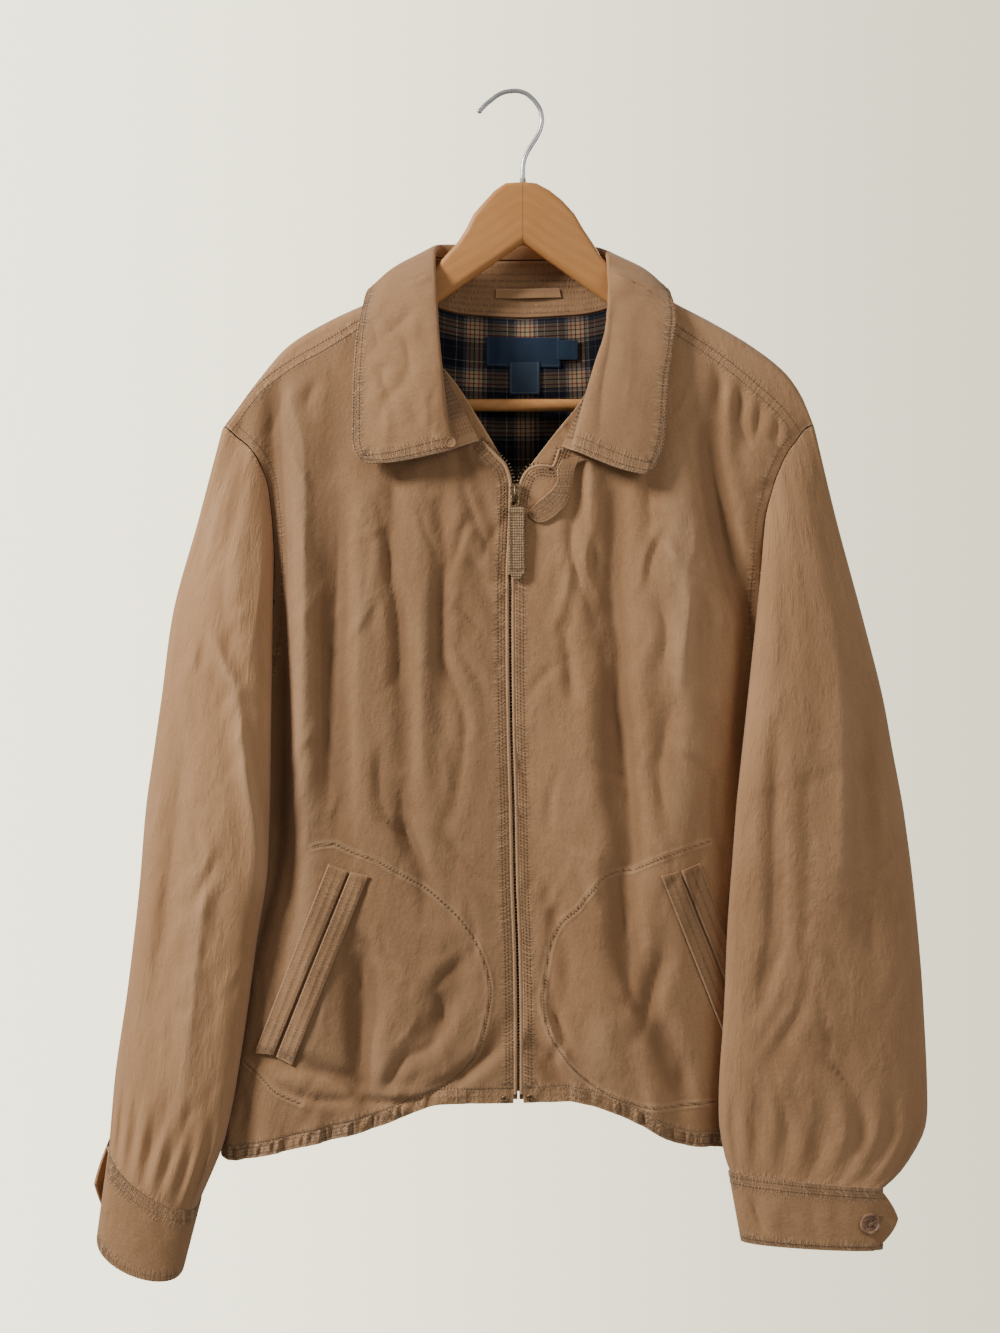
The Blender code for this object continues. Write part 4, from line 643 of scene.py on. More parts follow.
CUFF_POINT = (28.0, 38.0)   # degrees that the end's top and foot corners are cut back from its point
BUTTON_ROOM = 0.4       # from the cuff to its button


def soft_lower(a, b, blend):
    """The lower of two depths, rounded where they cross."""
    h = np.clip(0.5 + 0.5 * (b - a) / blend, 0, 1)
    return b + (a - b) * h - blend * h * (1 - h)


def off_front(side, x, z, room):
    """How far forward the sleeve's back has to stay, to rest on the front of the body."""
    side_x = SIDE[side]("x", z)
    rest = front_points(SIGN[side] * np.minimum(np.abs(x), side_x - 5), z)[..., 1] - room
    return rest + 1.5 * np.maximum(np.abs(x) - side_x - 3, 0)


def sleeve_ring(side, inward, front, share):
    """Points of a full ring. inward runs from 0 at the outer edge to 1 at the inner edge."""
    table = SLEEVE[side]
    sign = SIGN[side]
    swing = (1 - np.cos(math.pi * inward)) / 2
    around = np.sin(math.pi * inward) ** 0.85
    x = sign * (table("x_out", share) + (table("x_in", share) - table("x_out", share)) * swing)
    z = table("z_out", share) + (table("z_in", share) - table("z_out", share)) * swing
    middle = table("y_out", share) + (table("y_in", share) - table("y_out", share)) * swing
    face = np.where(front, -1.0, 1.0)
    depth = np.where(front, table("front", share), table("back", share))
    z = z + face * table("dip", share) * around
    y = middle + face * depth * around
    gather = 2.0 * ease((share - 0.78) / 0.15) * ease((1 - share) / 0.08)
    y = y + face * around * gather * np.sin(GATHERS * 2 * math.pi * inward + 1.1 * sign)
    y = np.where(front, y, soft_lower(y, off_front(side, x, z, 4.6), 4.0))
    end = cuff_ring(side, -face * math.pi * inward, 0 * share, 0 * share)
    end = end + unit(np.array(CUFF[side][0], float) - np.array(CUFF[side][1], float)) * CUFF_REST[side]
    into_cuff = ease((share - CUFF_BLEND) / (1 - CUFF_BLEND))[..., None]
    return np.stack([x, y, z], axis=-1) * (1 - into_cuff) + end * into_cuff


def armhole_loop(side, inward, front):
    """The armhole from its top, down the front to the knee, or down the back and round to the knee."""
    cap = on_front(*ARMHOLE_FRONT[side][0])
    top = on_back(*ARMHOLE_BACK[side][0])
    down_front = Chain(Line([top, cap]), line_on(on_front, ARMHOLE_FRONT[side]))
    down_back = line_on(on_back, ARMHOLE_BACK[side])
    knee = KNEE[side]
    on_face = body_at(down_front(inward * knee))
    turn = UNDER_ARM[side]
    behind_points = body_at(down_back(np.clip(inward / turn, 0, 1)))
    rising_points = body_at(down_front(1 - (1 - knee) * np.clip((inward - turn) / (1 - turn), 0, 1)))
    stand_off = UNDER_ARM["off"] * ease((inward - turn) / UNDER_ARM["ramp"])
    rising_points[..., 1] -= stand_off * (1 - 0.7 * ease((inward - 0.8) / 0.2))
    under = UNDER_ARM["bump"] * ease(1 - np.abs(inward - turn) / UNDER_ARM["width"])
    rising_points[..., 0] += SIGN[side] * under
    behind_points[..., 0] += SIGN[side] * under
    on_face[..., 1] -= 0.8 * ease(inward / 0.08)
    behind_points[..., 1] += 0.5 * ease(inward / 0.08)
    rising_points[..., 0] += SIGN[side] * 0.8 * (1 - ease((inward - turn) / 0.2))
    behind_points[..., 0] += SIGN[side] * 0.8 * ease(inward / turn * 2 - 1)
    back_face = np.where((inward <= turn)[..., None], behind_points, rising_points)
    return np.where(front[..., None], on_face, back_face)


def sleeve(side, u, v):
    """u runs round the sleeve from its outer edge over the front, v from the armhole to the cuff."""
    front = u < 0.5
    inward = np.where(front, 2 * u, 2 - 2 * u)
    sign = SIGN[side]
    ring_share = np.clip((v - FAN) / (1 - FAN), 0, 1)
    ring = sleeve_ring(side, inward, front, ring_share)
    first = sleeve_ring(side, inward, front, 0 * v)
    loop = armhole_loop(side, inward, front)
    length = np.linalg.norm(first - loop, axis=-1)
    t = np.clip(v / FAN, 0, 1)
    off_seam = np.where(front, 2.0, 2.0 + 1.5 * ease(inward / 0.08))
    t = t + (1 - t) * off_seam * GAP / np.maximum(length, 3.0)
    t1 = t[..., None]
    outer = Line(OUTER_EDGE[side])
    bow = outer(t) - ((1 - t1) * outer(0 * t) + t1 * outer(0 * t + 1))
    outward = (1 - inward)[..., None] ** 2
    fan = (1 - t1) * loop + t1 * first + outward * bow
    face = np.where(front, -1.0, 1.0)
    bulge = np.where(front, 9.0, 4.0) * np.sin(math.pi * t) ** BULGE[0] * np.sin(math.pi * inward) ** BULGE[1]
    fan[..., 1] += face * bulge * np.where(front, 1.0, ease((0.5 - inward) / 0.2))
    held_off = off_front(side, fan[..., 0], fan[..., 2], 2.4 + 2.2 * ease(2 * t))
    fan[..., 1] = np.where(front | (inward < 0.55), fan[..., 1], soft_lower(fan[..., 1], held_off, 2.0))
    points = np.where((v < FAN)[..., None], fan, ring)
    folds = sleeve_lift(side, points[..., 0], points[..., 2])
    room = np.sin(math.pi * inward) * ease(v / FAN * 2.5)
    ends = ease((1 - v) * 14)
    behind = sleeve_lift(side, points[..., 0] + 14 * sign, points[..., 2] + 26)
    free = ease((np.abs(points[..., 0]) - SIDE[side]("x", points[..., 2]) - 12) / 14)
    points[..., 1] += room * ends * np.where(front, -folds, 0.7 * behind * free)
    return points


def unit(vector):
    return vector / np.linalg.norm(vector)


def cuff_ring(side, angle, down, out=0.0):
    """Points round a cuff: angle 0 is its outer edge and a quarter turn its front."""
    centre_top, centre_foot, half_top, half_foot, deep_top, deep_foot = np.array(CUFF[side], float)
    down = np.asarray(down)[..., None]
    out = np.asarray(out)[..., None]
    centre = centre_top + (centre_foot - centre_top) * down
    half = half_top + (half_foot - half_top) * down
    deep = deep_top + (deep_foot - deep_top) * down
    axis = unit(centre_foot - centre_top)
    sideways = unit(half_top - axis * np.dot(half_top, axis))
    forwards = unit(deep_top - axis * np.dot(deep_top, axis))
    sine = np.sin(angle)[..., None]
    cosine = np.cos(angle)[..., None]
    points = centre + half * cosine + deep * np.sign(sine) * np.abs(sine) ** 0.8
    return points + out * (sideways * cosine + forwards * sine)


def cuff(side, u, v):
    """A band that starts under its own end at the outer edge and goes round behind. v runs down it."""
    button_face = 1.0 if side == "left" else -1.0
    angle = button_face * (math.radians(CUFF_START) - u * math.radians(CUFF_START + 360))
    from_middle = np.abs(2 * v - 1)
    cut_back = np.where(v < 0.5, CUFF_POINT[0], CUFF_POINT[1]) * from_middle * ease((u - 0.8) / 0.2)
    angle = angle + button_face * np.radians(cut_back)
    out = CUFF_LAP * ease(u * 1.15 - 0.12)
    points = cuff_ring(side, angle, v, out)
    tab = CUFF_TAB[side] * ease((u - 0.93) / 0.07) * (1 - from_middle)
    return points + unit(np.array(CUFF[side][2], float)) * tab[..., None]


# ---------------------------------------------------------------- collar

# roll and outer edge of the leaf at stations round the neck, from the right front end to the left one
COLLAR = [
    # from the right end round to the left: roll x, y, z, edge x, y, z
    (-59, -49, -298, -124, -44, -306), (-62, -46, -265, -129, -41, -287), (-63, -40, -231, -129, -34, -250),
    (-64.5, -29, -195, -127, -25, -206), (-66, -13, -150, -123, -15.5, -181), (-67, 0, -129, -117, 3, -160),
    (-62, 17, -121, -101, 25, -178), (-30, 25, -119, -46, 36, -192), (7, 26, -118, 7, 39, -195),
    (44, 25, -119, 60, 36, -192), (70, 17, -124, 112, 25, -178), (75, 0, -132, 122, 3, -160),
    (76, -14, -158, 128, -19, -187), (74, -29, -196, 125, -26, -209), (66, -40, -228, 120, -35, -243),
    (57, -46, -262, 117, -41, -285), (49, -50, -298, 108, -45, -316),
]
NECK_SHARES = (0.0, 0.06, 0.115, 0.175, 0.245, 0.295, 0.345, 0.42, 0.50, 0.58, 0.635, 0.688, 0.745, 0.815,
               0.88, 0.94, 1.0)
COLLAR_COLUMNS = ((0, 0.04, 0.08, 0.12, 0.155, 0.19, 0.22) + NECK_COLUMNS
                  + (0.78, 0.81, 0.845, 0.88, 0.92, 0.96, 1.0))
LEAF_LIFT = 5.0         # how far the leaf bulges out between its roll and its edge
STAND_TOP = 0.72        # share of the way from neck seam to roll where stand and leaf are joined
COLLAR_ROOM = 2.6       # least distance from the leaf's underside to the body


def neck_loop():
    right = line_on(on_front, NECK_FRONT["right"])
    left = line_on(on_front, NECK_FRONT["left"][::-1])
    return Chain(right, back_neck_line(), left, shares=NECK_JOINTS)


def collar_frame(s):
    """Neck seam, roll and edge points at a share of the way round the neck."""
    neck = body_at(neck_loop()(s))
    neck[..., 1] -= 1.0 * ease((np.abs(s - 0.5) - 0.22) / 0.05)
    rows = np.array(COLLAR, float)
    roll = np.stack([smooth_curve(NECK_SHARES, rows[:, k], s) for k in (0, 1, 2)], axis=-1)
    edge = np.stack([smooth_curve(NECK_SHARES, rows[:, k], s) for k in (3, 4, 5)], axis=-1)
    return neck, roll, edge


def collar(s, t):
    """t runs from the neck seam at 0 over the roll at 1 to the leaf's edge at 2."""
    neck, roll, edge = collar_frame(s)
    outward = (roll + edge) / 2 - np.array([CENTRE, -8.0, -215.0])
    outward = outward / np.linalg.norm(outward, axis=-1)[..., None]
    waist = (neck + roll) / 2
    crown = (roll + edge) / 2 + LEAF_LIFT * outward
    knots = [2 * neck - waist, neck, waist, roll, crown, edge, 2 * edge - crown]
    at = np.clip(t, 0, 2) * 2
    k = np.clip(np.floor(at), 0, 3).astype(int)
    f = (at - k)[..., None]
    stack = np.stack(knots, axis=0)
    pick = [np.take_along_axis(stack, (k + shift)[None, ..., None], axis=0)[0] for shift in range(4)]
    before, start, end, after = pick
    return 0.5 * (2 * start + (end - before) * f + (2 * before - 5 * start + 4 * end - after) * f ** 2
                  + (3 * start - before - 3 * end + after) * f ** 3)


def clear_of_body(points, room):
    """Points moved off the body's outer side until they have this much room."""
    x, y, z = np.moveaxis(points, -1, 0)
    below = RIDGE("z", x) - z - RAIL
    reach = np.maximum(np.hypot(y, below), 0.01)
    room = room + 2.4 * np.exp(-((below + RAIL) / 14) ** 2)
    push = np.maximum((RAIL + room) / reach, 1.0)
    over = below <= 0
    path = path_from_drop(below + RAIL)
    front = body(x, -path)[..., 1] - room
    behind = body(x, path)[..., 1] + room
    off = np.where(y < 0, np.minimum(y, front), np.maximum(y, behind))
    return np.stack([x, np.where(over, y * push, off), np.where(over, z - below * (1 - push), z)], axis=-1)


def collar_place(u):
    count = len(COLLAR_COLUMNS) - 1
    return np.interp(u * count, range(count + 1), COLLAR_COLUMNS)


def stand_sheet(u, v):
    u = collar_place(u)
    start = GAP / 20
    return collar(u, start + v * (STAND_TOP - start - GAP / 80))


def leaf_sheet(u, v):
    u = collar_place(u)
    start = STAND_TOP + GAP / 20
    corner = np.abs(2 * u - 1) ** 24
    end = 2 - 0.05 * corner
    t = start + v * (end - start)
    points = collar(u, t)
    settled = ease((t - 1.0) / 0.25)[..., None]
    return points * (1 - settled) + clear_of_body(points, COLLAR_ROOM) * settled


BACK_ROWS = (0, 0.0123, 0.0246, 0.0338, 0.0415, 0.0492, 0.0569, 0.0646, 0.0738, 0.087, 0.11, 0.146, 0.2, 0.27,
             0.354, 0.446, 0.546, 0.654, 0.77, 0.885, 1.0)


# ---------------------------------------------------------------- zip, lining, pockets, strap and hanger

TAPE_BACK = 2.1         # from the front's outer side to the tape's front
TAPE_WALL = 0.8
TAPE_FOOT = -807.0
SLIDER = (-0.8, -328.5)


def edge_offset(side, share, away):
    """A place beside a front's zip edge, away from it towards the gap."""
    line = zip_edge(side, TAPE_FOOT)
    here = line(share)
    ahead = line(np.minimum(share + 0.004, 1.0)) - line(np.maximum(share - 0.004, 0.0))
    ahead = ahead / np.linalg.norm(ahead, axis=-1)[..., None]
    across = np.stack([-ahead[..., 1], ahead[..., 0]], axis=-1) * -SIGN[side]
    return here + across * away[..., None]


def tape(side, u, v):
    points = body_at(edge_offset(side, v * 0.999, 2.9 - 11.5 * u))
    points[..., 1] += TAPE_BACK + 1.0 * ease((-775 - points[..., 2]) / 20)
    return points


LINING_BACK = TWILL + 1.4


def lining(u, v):
    """The plaid lining behind the neck, from the neck seam down as far as the open collar shows it."""
    top = neck_loop()(0.355 + 0.285 * u)
    x = top[..., 0] * (1 + 0.1 * v)
    foot = on_back(x, -338.0)[..., 1]
    points = body(x, (top[..., 1] + 0.8) * (1 - v) + foot * v)
    points[..., 1] -= LINING_BACK
    return points


def on_lining(x, z, out):
    points = body(x, on_back(x, z)[..., 1])
    points[..., 1] -= LINING_BACK + LINING + out
    return points


def loop_on_stand(u, v):
    """The locker loop, sewn down at both ends and slack between them."""
    place = 0.452 + 0.098 * u
    points = collar(place, 0.26 + 0.13 * v)
    points[..., 1] -= COLLAR_WALL + GAP + 2.2 * np.sin(math.pi * u) ** 2
    return points


def facing(side, u, v):
    """The strip behind the neckline that turns towards the zip."""
    rows = FACING[side]
    edge = Line([(x, z) for x, z, width in rows])(v)
    width = np.array([row[2] for row in rows], float)
    reach = np.interp(v, np.linspace(0, 1, len(width)), width)
    x = edge[..., 0] + SIGN[side] * reach * u
    points = front_points(x, edge[..., 1])
    points[..., 1] += 3.4
    return points


# x and z of the edge that shows, and how wide the strip is
FACING = {
    "right": [(-62, -222, 14), (-46, -242, 13), (-31, -266, 12), (-19, -286, 12), (-11, -300, 9)],
    "left": [(60, -240, 16), (49, -258, 20), (36, -274, 24), (25, -288, 24), (9, -309, 24)],
}


# corners of the right pocket's two welts, top outer, top inner, foot inner, foot outer
WELTS = {
    "outer": ((-148, -621), (-132.3, -626.5), (-192.3, -773.5), (-208, -773)),
    "inner": ((-130.5, -627), (-116, -630), (-177, -781), (-190.3, -775)),
}
WELT_WALL = 1.3
WELT_OUT = {"right": 3.1, "left": 2.5}


def welt(side, corners, u, v):
    corners = np.array(corners, float)
    if side == "left":
        corners[:, 0] = -corners[:, 0] - 2
    u1 = u[..., None]
    v1 = v[..., None]
    top = (1 - u1) * corners[0] + u1 * corners[1]
    foot = (1 - u1) * corners[3] + u1 * corners[2]
    place = (1 - v1) * top + v1 * foot
    return front_points(place[..., 0], place[..., 1], out=WELT_OUT[side])


# centre and half width of the strap, how far it stands off the front, from its sewn end to its point
STRAP = [
    # x, z, half dx, half dz, stand-off
    (43, -301, 7.0, 1.5, 4.2),
    (39, -312, 6.8, -1.0, 4.4),
    (38.3, -321, 5.5, -3.2, 4.6),
    (35, -330, 5.0, -6.5, 3.8),
    (29, -336.5, 4.5, -7.5, 3.0),
    (22, -342, 3.2, -8.2, 2.5),
    (15, -345.5, 1.8, -6.0, 2.4),
    (10.5, -345.5, 0.6, -2.2, 2.4),
]


def strap(u, v):
    rows = np.array(STRAP, float)
    along = np.linspace(0, 1, len(rows))
    x, z, dx, dz, off = (smooth_curve(along, column, v) for column in rows.T)
    side = 2 * u - 1
    points = front_points(x + dx * side, z + dz * side)
    points[..., 1] -= off
    return points


HANGER_THICK = 13.0
HANGER_BEVEL = 4.6
UNDER_CLOTH = TWILL + 1.1
HANGER_HEAD = [(6, -73), (17, -74), (28, -80), (38, -88), (48, -99), (55, -111), (63, -123), (69, -133)]
HANGER_HEAD_RIGHT = [(-8, -74), (-17, -80), (-27, -91), (-34, -99), (-40, -111), (-47, -122), (-57, -133)]
HANGER_UNDER = [(178, -262), (178, -246), (150, -228), (126, -209), (74, -170), (6, -122)]
HANGER_END = 206.0
BAR_Z = -253.5
BAR_RADIUS = 5.0
BAR_END = 177.6
HOOK = [(-29, -15), (-25, -10.5), (-20, -6.3), (-14, -1.9), (-8, 0.6), (0, 1.5), (7, 0.0), (12, -3.2),
        (17, -8.6), (20.5, -15), (21.6, -22), (20.4, -29), (17.6, -35.5), (13.5, -42), (9.4, -49), (6.8, -56),
        (6.0, -63), (6.0, -72.6)]


def under_ridge(x):
    """A place square below the cloth's ridge, a little lower where the collar stands on it."""
    slope = (RIDGE("z", x + 3.0) - RIDGE("z", x - 3.0)) / 6.0
    room = UNDER_CLOTH + 3.0 * math.exp(-((abs(x - CENTRE) - 92) / 20) ** 2)
    room += 1.6 * float(ease((abs(x - CENTRE) - 130) / 40))
    steep = math.hypot(1.0, slope)
    return x + slope * room / steep, float(RIDGE("z", x)) - room / steep


def hanger_outline():
    left = [under_ridge(x) for x in (84.0, 96, 108, 122, 140, 158, 176, 192, 206)]
    right = [under_ridge(x) for x in (-72.0, -84, -96, -110, -128, -146, -164, -180, -194)]
    end_left = [(HANGER_END + out, z) for out, z in ((2, -232), (3, -246), (-3, -258), (-10, -262))]
    end_right = [(2 * CENTRE - x, z) for x, z in end_left]
    under_right = [(2 * CENTRE - x, z) for x, z in HANGER_UNDER[:-1]]
    down = HANGER_HEAD + left + end_left + HANGER_UNDER
    return down + under_right[::-1] + end_right[::-1] + right[::-1] + HANGER_HEAD_RIGHT[::-1]


# ---------------------------------------------------------------- finishes

def worked(operation):
    """The two methods of a Python operator, as it stands and reflected, that add its Math node."""
    return (lambda self, other: self.sum(operation, self, other),
            lambda self, other: self.sum(operation, other, self))


class Wire:
    """One socket of a shader, so that sums on it are written as plain expressions."""

    def __init__(self, shader, socket):
        self.shader = shader
        self.socket = socket

    def sum(self, operation, *values):
        return self.shader.add("ShaderNodeMath", {"operation": operation}, dict(enumerate(values)))

    __add__, __radd__ = worked("ADD")
    __sub__, __rsub__ = worked("SUBTRACT")
    __mul__, __rmul__ = worked("MULTIPLY")
    __truediv__, __rtruediv__ = worked("DIVIDE")

    def __neg__(self):
        return self.sum("MULTIPLY", self, -1.0)

    def sine(self):
        return self.sum("SINE", self)

    def size(self):
        return self.sum("ABSOLUTE", self)

    def bell(self, width):
        """1 where this is 0, falling off over a width on both sides."""
        return self.sum("EXPONENT", -(self * self) / (width * width))

    def above(self, low, high):
        """0 below low, 1 above high and smooth between them."""
        return self.shader.add("ShaderNodeMapRange", {"interpolation_type": "SMOOTHSTEP"},
                               {"Value": self, "From Min": low, "From Max": high})


class Shader:
    """A new finish, with its nodes added one after another."""

    def __init__(self, name, **fixed):
        self.material = bpy.data.materials.new(name)
        self.material.use_nodes = True
        self.tree = self.material.node_tree
        self.surface = self.tree.nodes["Principled BSDF"]
        for socket, value in fixed.items():
            self.surface.inputs[socket.replace("_", " ")].default_value = value

    def add(self, kind, settings=None, inputs=None, out=0):
        node = self.tree.nodes.new(kind)
        for key, value in (settings or {}).items():
            if key == "stops":
                self.set_stops(node.color_ramp, value)
            else:
                setattr(node, key, value)
        for key, value in (inputs or {}).items():
            self.feed(node.inputs[key], value)
        return Wire(self, node.outputs[out])

    def feed(self, socket, value):
        if isinstance(value, Wire):
            self.tree.links.new(value.socket, socket)
        else:
            socket.default_value = value

    @staticmethod
    def set_stops(ramp, stops):
        ramp.interpolation = "CONSTANT"
        ramp.elements.remove(ramp.elements[1])
        ramp.elements[0].position = stops[0][0]
        ramp.elements[0].color = (*stops[0][1], 1.0)
        for place, colour in stops[1:]:
            ramp.elements.new(place).color = (*colour, 1.0)

    def place(self, kind="UV"):
        return self.add("ShaderNodeTexCoord", out=kind)

    def parts(self, place):
        node = self.tree.nodes.new("ShaderNodeSeparateXYZ")
        self.feed(node.inputs[0], place)
        return [Wire(self, socket) for socket in node.outputs]

    def noise(self, place, scale, detail=2.0, roughness=0.5):
        """Cloudy noise, finer with the scale. Three scales stretch the place along each axis instead."""
        if isinstance(scale, tuple):
            place = self.add("ShaderNodeVectorMath", {"operation": "MULTIPLY"}, {0: place, 1: scale})
            scale = 1.0
        settings = {"Vector": place, "Scale": scale, "Detail": detail, "Roughness": roughness}
        return self.add("ShaderNodeTexNoise", {}, settings)

    def mark(self, name):
        return self.add("ShaderNodeAttribute", {"attribute_name": name}, out="Fac")

    def mix(self, share, first, second, blend="MIX"):
        colours = [value if isinstance(value, Wire) else (*value, 1.0) for value in (first, second)]
        return self.add("ShaderNodeMix", {"data_type": "RGBA", "blend_type": blend},
                        {0: share, 6: colours[0], 7: colours[1]}, out=2)

    def paint(self, colour=None, roughness=None, bump=None, height=0.001, strength=1.0):
        if colour is not None:
            self.feed(self.surface.inputs["Base Color"], colour)
        if roughness is not None:
            self.feed(self.surface.inputs["Roughness"], roughness)
        if bump is not None:
            values = {"Height": bump, "Distance": height, "Strength": strength}
            self.feed(self.surface.inputs["Normal"], self.add("ShaderNodeBump", {}, values))
        return self.material


def washed_twill(name, light=1.0, crumple=1.0, pitch=3.6, reach=3.2, pucker=1.0):
    """Garment-washed cotton twill: puckered and worn pale along its seams, finely creased between them, with
    shade painted darker into the crease troughs, the pucker hollows and the stitch grooves.

    pitch, reach and pucker are the puckers' spacing along a seam, how far they run to either side of it
    and how strong they are.
    """
    s = Shader(name, Sheen_Weight=0.2, Sheen_Roughness=0.5, Specular_IOR_Level=0.15)
    place = s.place()
    cloud = s.noise(place, 9.0, 2.0)
    streak = s.noise(place, (95.0, 38.0, 1.0), 4.0, 0.62)
    slub = s.noise(place, (1200.0, 120.0, 1.0), 2.0)
    fleck = s.noise(place, 520.0, 3.0, 0.6)
    off = s.mark("seam_off")
    run = s.mark("seam_run")
    lift = s.mark("lift")
    edge = s.mark("edge_off")
    quiet = s.mark("quiet_off")
    # deep is a painted shade tone: the crease troughs, pucker hollows and stitch grooves are mixed towards it
    deep, mid, pale, worn = (tuple(light * part for part in colour) for colour in (
        (0.185, 0.091, 0.038), (0.365, 0.193, 0.088), (0.460, 0.257, 0.126), (0.64, 0.40, 0.225)))
    tone = cloud * 0.32 + streak * 0.20 + slub * 0.14 + fleck * 0.34
    colour = s.mix(tone.above(0.36, 0.64), mid, pale)
    # painted shade: the crease troughs, where lift is below zero, are darkened; the ridges above zero are
    # worn paler
    colour = s.mix((lift * -0.22).above(0.05, 1.0) * 0.45, colour, deep)
    colour = s.mix((lift * 0.22).above(0.1, 1.0) * 0.26, colour, worn)
    along = s.add("ShaderNodeCombineXYZ", {}, {0: run * (1.7 / pitch), 1: off * 0.16, 2: 0.0})
    wave = s.noise(along, 1.0, 3.0, 0.65).above(0.36, 0.64)
    patchy = s.noise(place, 34.0, 1.0).above(0.32, 0.62) * 0.7 + 0.3
    band = off.bell(reach) * patchy
    # the pucker crests are worn pale, and the hollows between them are darkened as painted shade
    colour = s.mix(band * wave * (0.27 * pucker), colour, worn)
    colour = s.mix(band * (1.0 - wave) * (0.17 * pucker), colour, deep)
    # painted shade in the stitch grooves, in specks along each row
    colour = s.mix(off.bell(0.7) * fleck.above(0.35, 0.6) * 0.5, colour, deep)
    # painted shade in the pressed groove of the pocket rows, with a worn pale band beside it
    colour = s.mix(quiet.bell(0.75) * 0.55, colour, deep)
    colour = s.mix((quiet - 2.2).bell(1.2) * patchy * 0.30, colour, worn)
    colour = s.mix(edge.bell(0.9) * 0.6, colour, worn)
    rib = s.parts(place)
    weave = ((rib[0] + rib[1] * 1.3) * (2 * math.pi / 0.0016)).sine()
    fold = s.noise(place, (62.0, 34.0, 1.0), 3.0, 0.55)
    fine = s.noise(place, (120.0, 70.0, 1.0), 2.0)
    crease = (fold - 0.5).size() + (fine - 0.5).size() * 0.5
    height = (fold * 0.7 + crease * 1.1 + streak * 0.1) * crumple + slub * 0.06 + fleck * 0.05 + weave * 0.03
    height = height + band * wave * (0.5 * pucker) - quiet.bell(0.9) * 0.55 + (quiet - 2.4).bell(1.5) * 0.3
    return s.paint(colour, tone * 0.12 + 0.80, height, height=0.0012, strength=0.9)


DARK = (0.006, 0.008, 0.016)
TARTAN = [
    # share of the repeat, colour
    (0.00, DARK), (0.10, (0.30, 0.25, 0.19)), (0.115, DARK), (0.25, (0.10, 0.10, 0.11)),
    (0.29, (0.006, 0.006, 0.01)), (0.305, (0.34, 0.24, 0.14)), (0.36, (0.16, 0.02, 0.015)),
    (0.385, (0.40, 0.27, 0.15)), (0.45, (0.012, 0.01, 0.012)), (0.475, (0.42, 0.31, 0.18)),
    (0.55, (0.18, 0.02, 0.018)), (0.575, (0.36, 0.25, 0.15)), (0.63, (0.006, 0.006, 0.01)),
    (0.66, (0.10, 0.09, 0.09)), (0.70, (0.30, 0.22, 0.14)), (0.715, DARK), (0.84, (0.22, 0.18, 0.14)),
    (0.85, DARK),
]
TARTAN_REPEAT = 0.043


def plaid(name):
    """Yarn-dyed plaid cotton: the same run of stripes both ways, crossing in a fine twill."""
    s = Shader(name, Sheen_Weight=0.05, Sheen_Roughness=0.5, Specular_IOR_Level=0.15)
    place = s.place()
    u, v = s.parts(place)[:2]
    stripes = []
    for part, shift in ((u, 0.5), (v, 0.2)):
        share = (part / TARTAN_REPEAT + shift).sum("FRACT", part / TARTAN_REPEAT + shift)
        stripes.append(s.add("ShaderNodeValToRGB", {"stops": TARTAN}, {"Fac": share}))
    thread = s.noise(place, (1500.0, 1500.0, 1.0), 1.0)
    colour = s.mix(thread.above(0.3, 0.7) * 0.4 + 0.3, stripes[0], stripes[1])
    colour = s.mix(0.5, colour, s.mix(1.0, stripes[0], stripes[1], "DARKEN"))
    colour = s.mix(s.noise(place, 30.0, 2.0).above(0.4, 0.7) * 0.3, colour, (0.02, 0.016, 0.014))
    weave = ((u + v) * (2 * math.pi / 0.0014)).sine()
    height = weave * 0.12 + thread * 0.4 + s.noise(place, 120.0, 3.0)
    return s.paint(colour, thread * 0.1 + 0.82, height, 0.0006, 0.7)


def woven_label(name, navy, border):
    """Damask label: fine ribs and a border line of its own shade, and no words."""
    s = Shader(name, Sheen_Weight=0.15, Specular_IOR_Level=0.25)
    place = s.place()
    v = s.parts(place)[1]
    thread = s.noise(place, (4500.0, 1200.0, 1.0), 1.0)
    colour = s.mix(thread, tuple(0.6 * part for part in navy), tuple(1.4 * part for part in navy))
    edge = s.mark("edge_off")
    colour = s.mix((edge - 1.6).bell(0.3) * 0.8, colour, border)
    rib = (v * (2 * math.pi / 0.0007)).sine()
    return s.paint(colour, thread * 0.15 + 0.6, rib * 0.3 + thread * 0.5, 0.0003, 0.6)


def webbing(name):
    s = Shader(name, Sheen_Weight=0.2, Specular_IOR_Level=0.2)
    place = s.place("Object")
    x, _, z = s.parts(place)
    thread = s.noise(place, (900.0, 900.0, 350.0), 2.0)
    rib = (z * (2 * math.pi / 0.0021)).sine()
    cord = (x * (2 * math.pi / 0.0018)).sine()
    colour = s.mix(thread.above(0.3, 0.7), (0.26, 0.155, 0.078), (0.46, 0.30, 0.165))
    colour = s.mix(rib * 0.15 + 0.15, colour, (0.16, 0.09, 0.045))
    return s.paint(colour, thread * 0.1 + 0.8, rib * 0.5 + cord * 0.25 + thread * 0.5, 0.0005, 0.8)


def aged_brass(name):
    s = Shader(name, Metallic=1.0)
    place = s.place("Object")
    tarnish = s.noise(place, 420.0, 3.0)
    colour = s.mix(tarnish.above(0.35, 0.65), (0.16, 0.105, 0.06), (0.42, 0.29, 0.155))
    return s.paint(colour, tarnish * 0.3 + 0.28, tarnish, 0.0001, 0.4)


def thread_finish(name, colour):
    s = Shader(name, Sheen_Weight=0.2, Specular_IOR_Level=0.2)
    fuzz = s.noise(s.place("Object"), 2600.0, 2.0)
    colour = s.mix(fuzz, tuple(0.7 * part for part in colour), colour)
    return s.paint(colour, fuzz * 0.1 + 0.8, fuzz, 0.0001, 0.5)


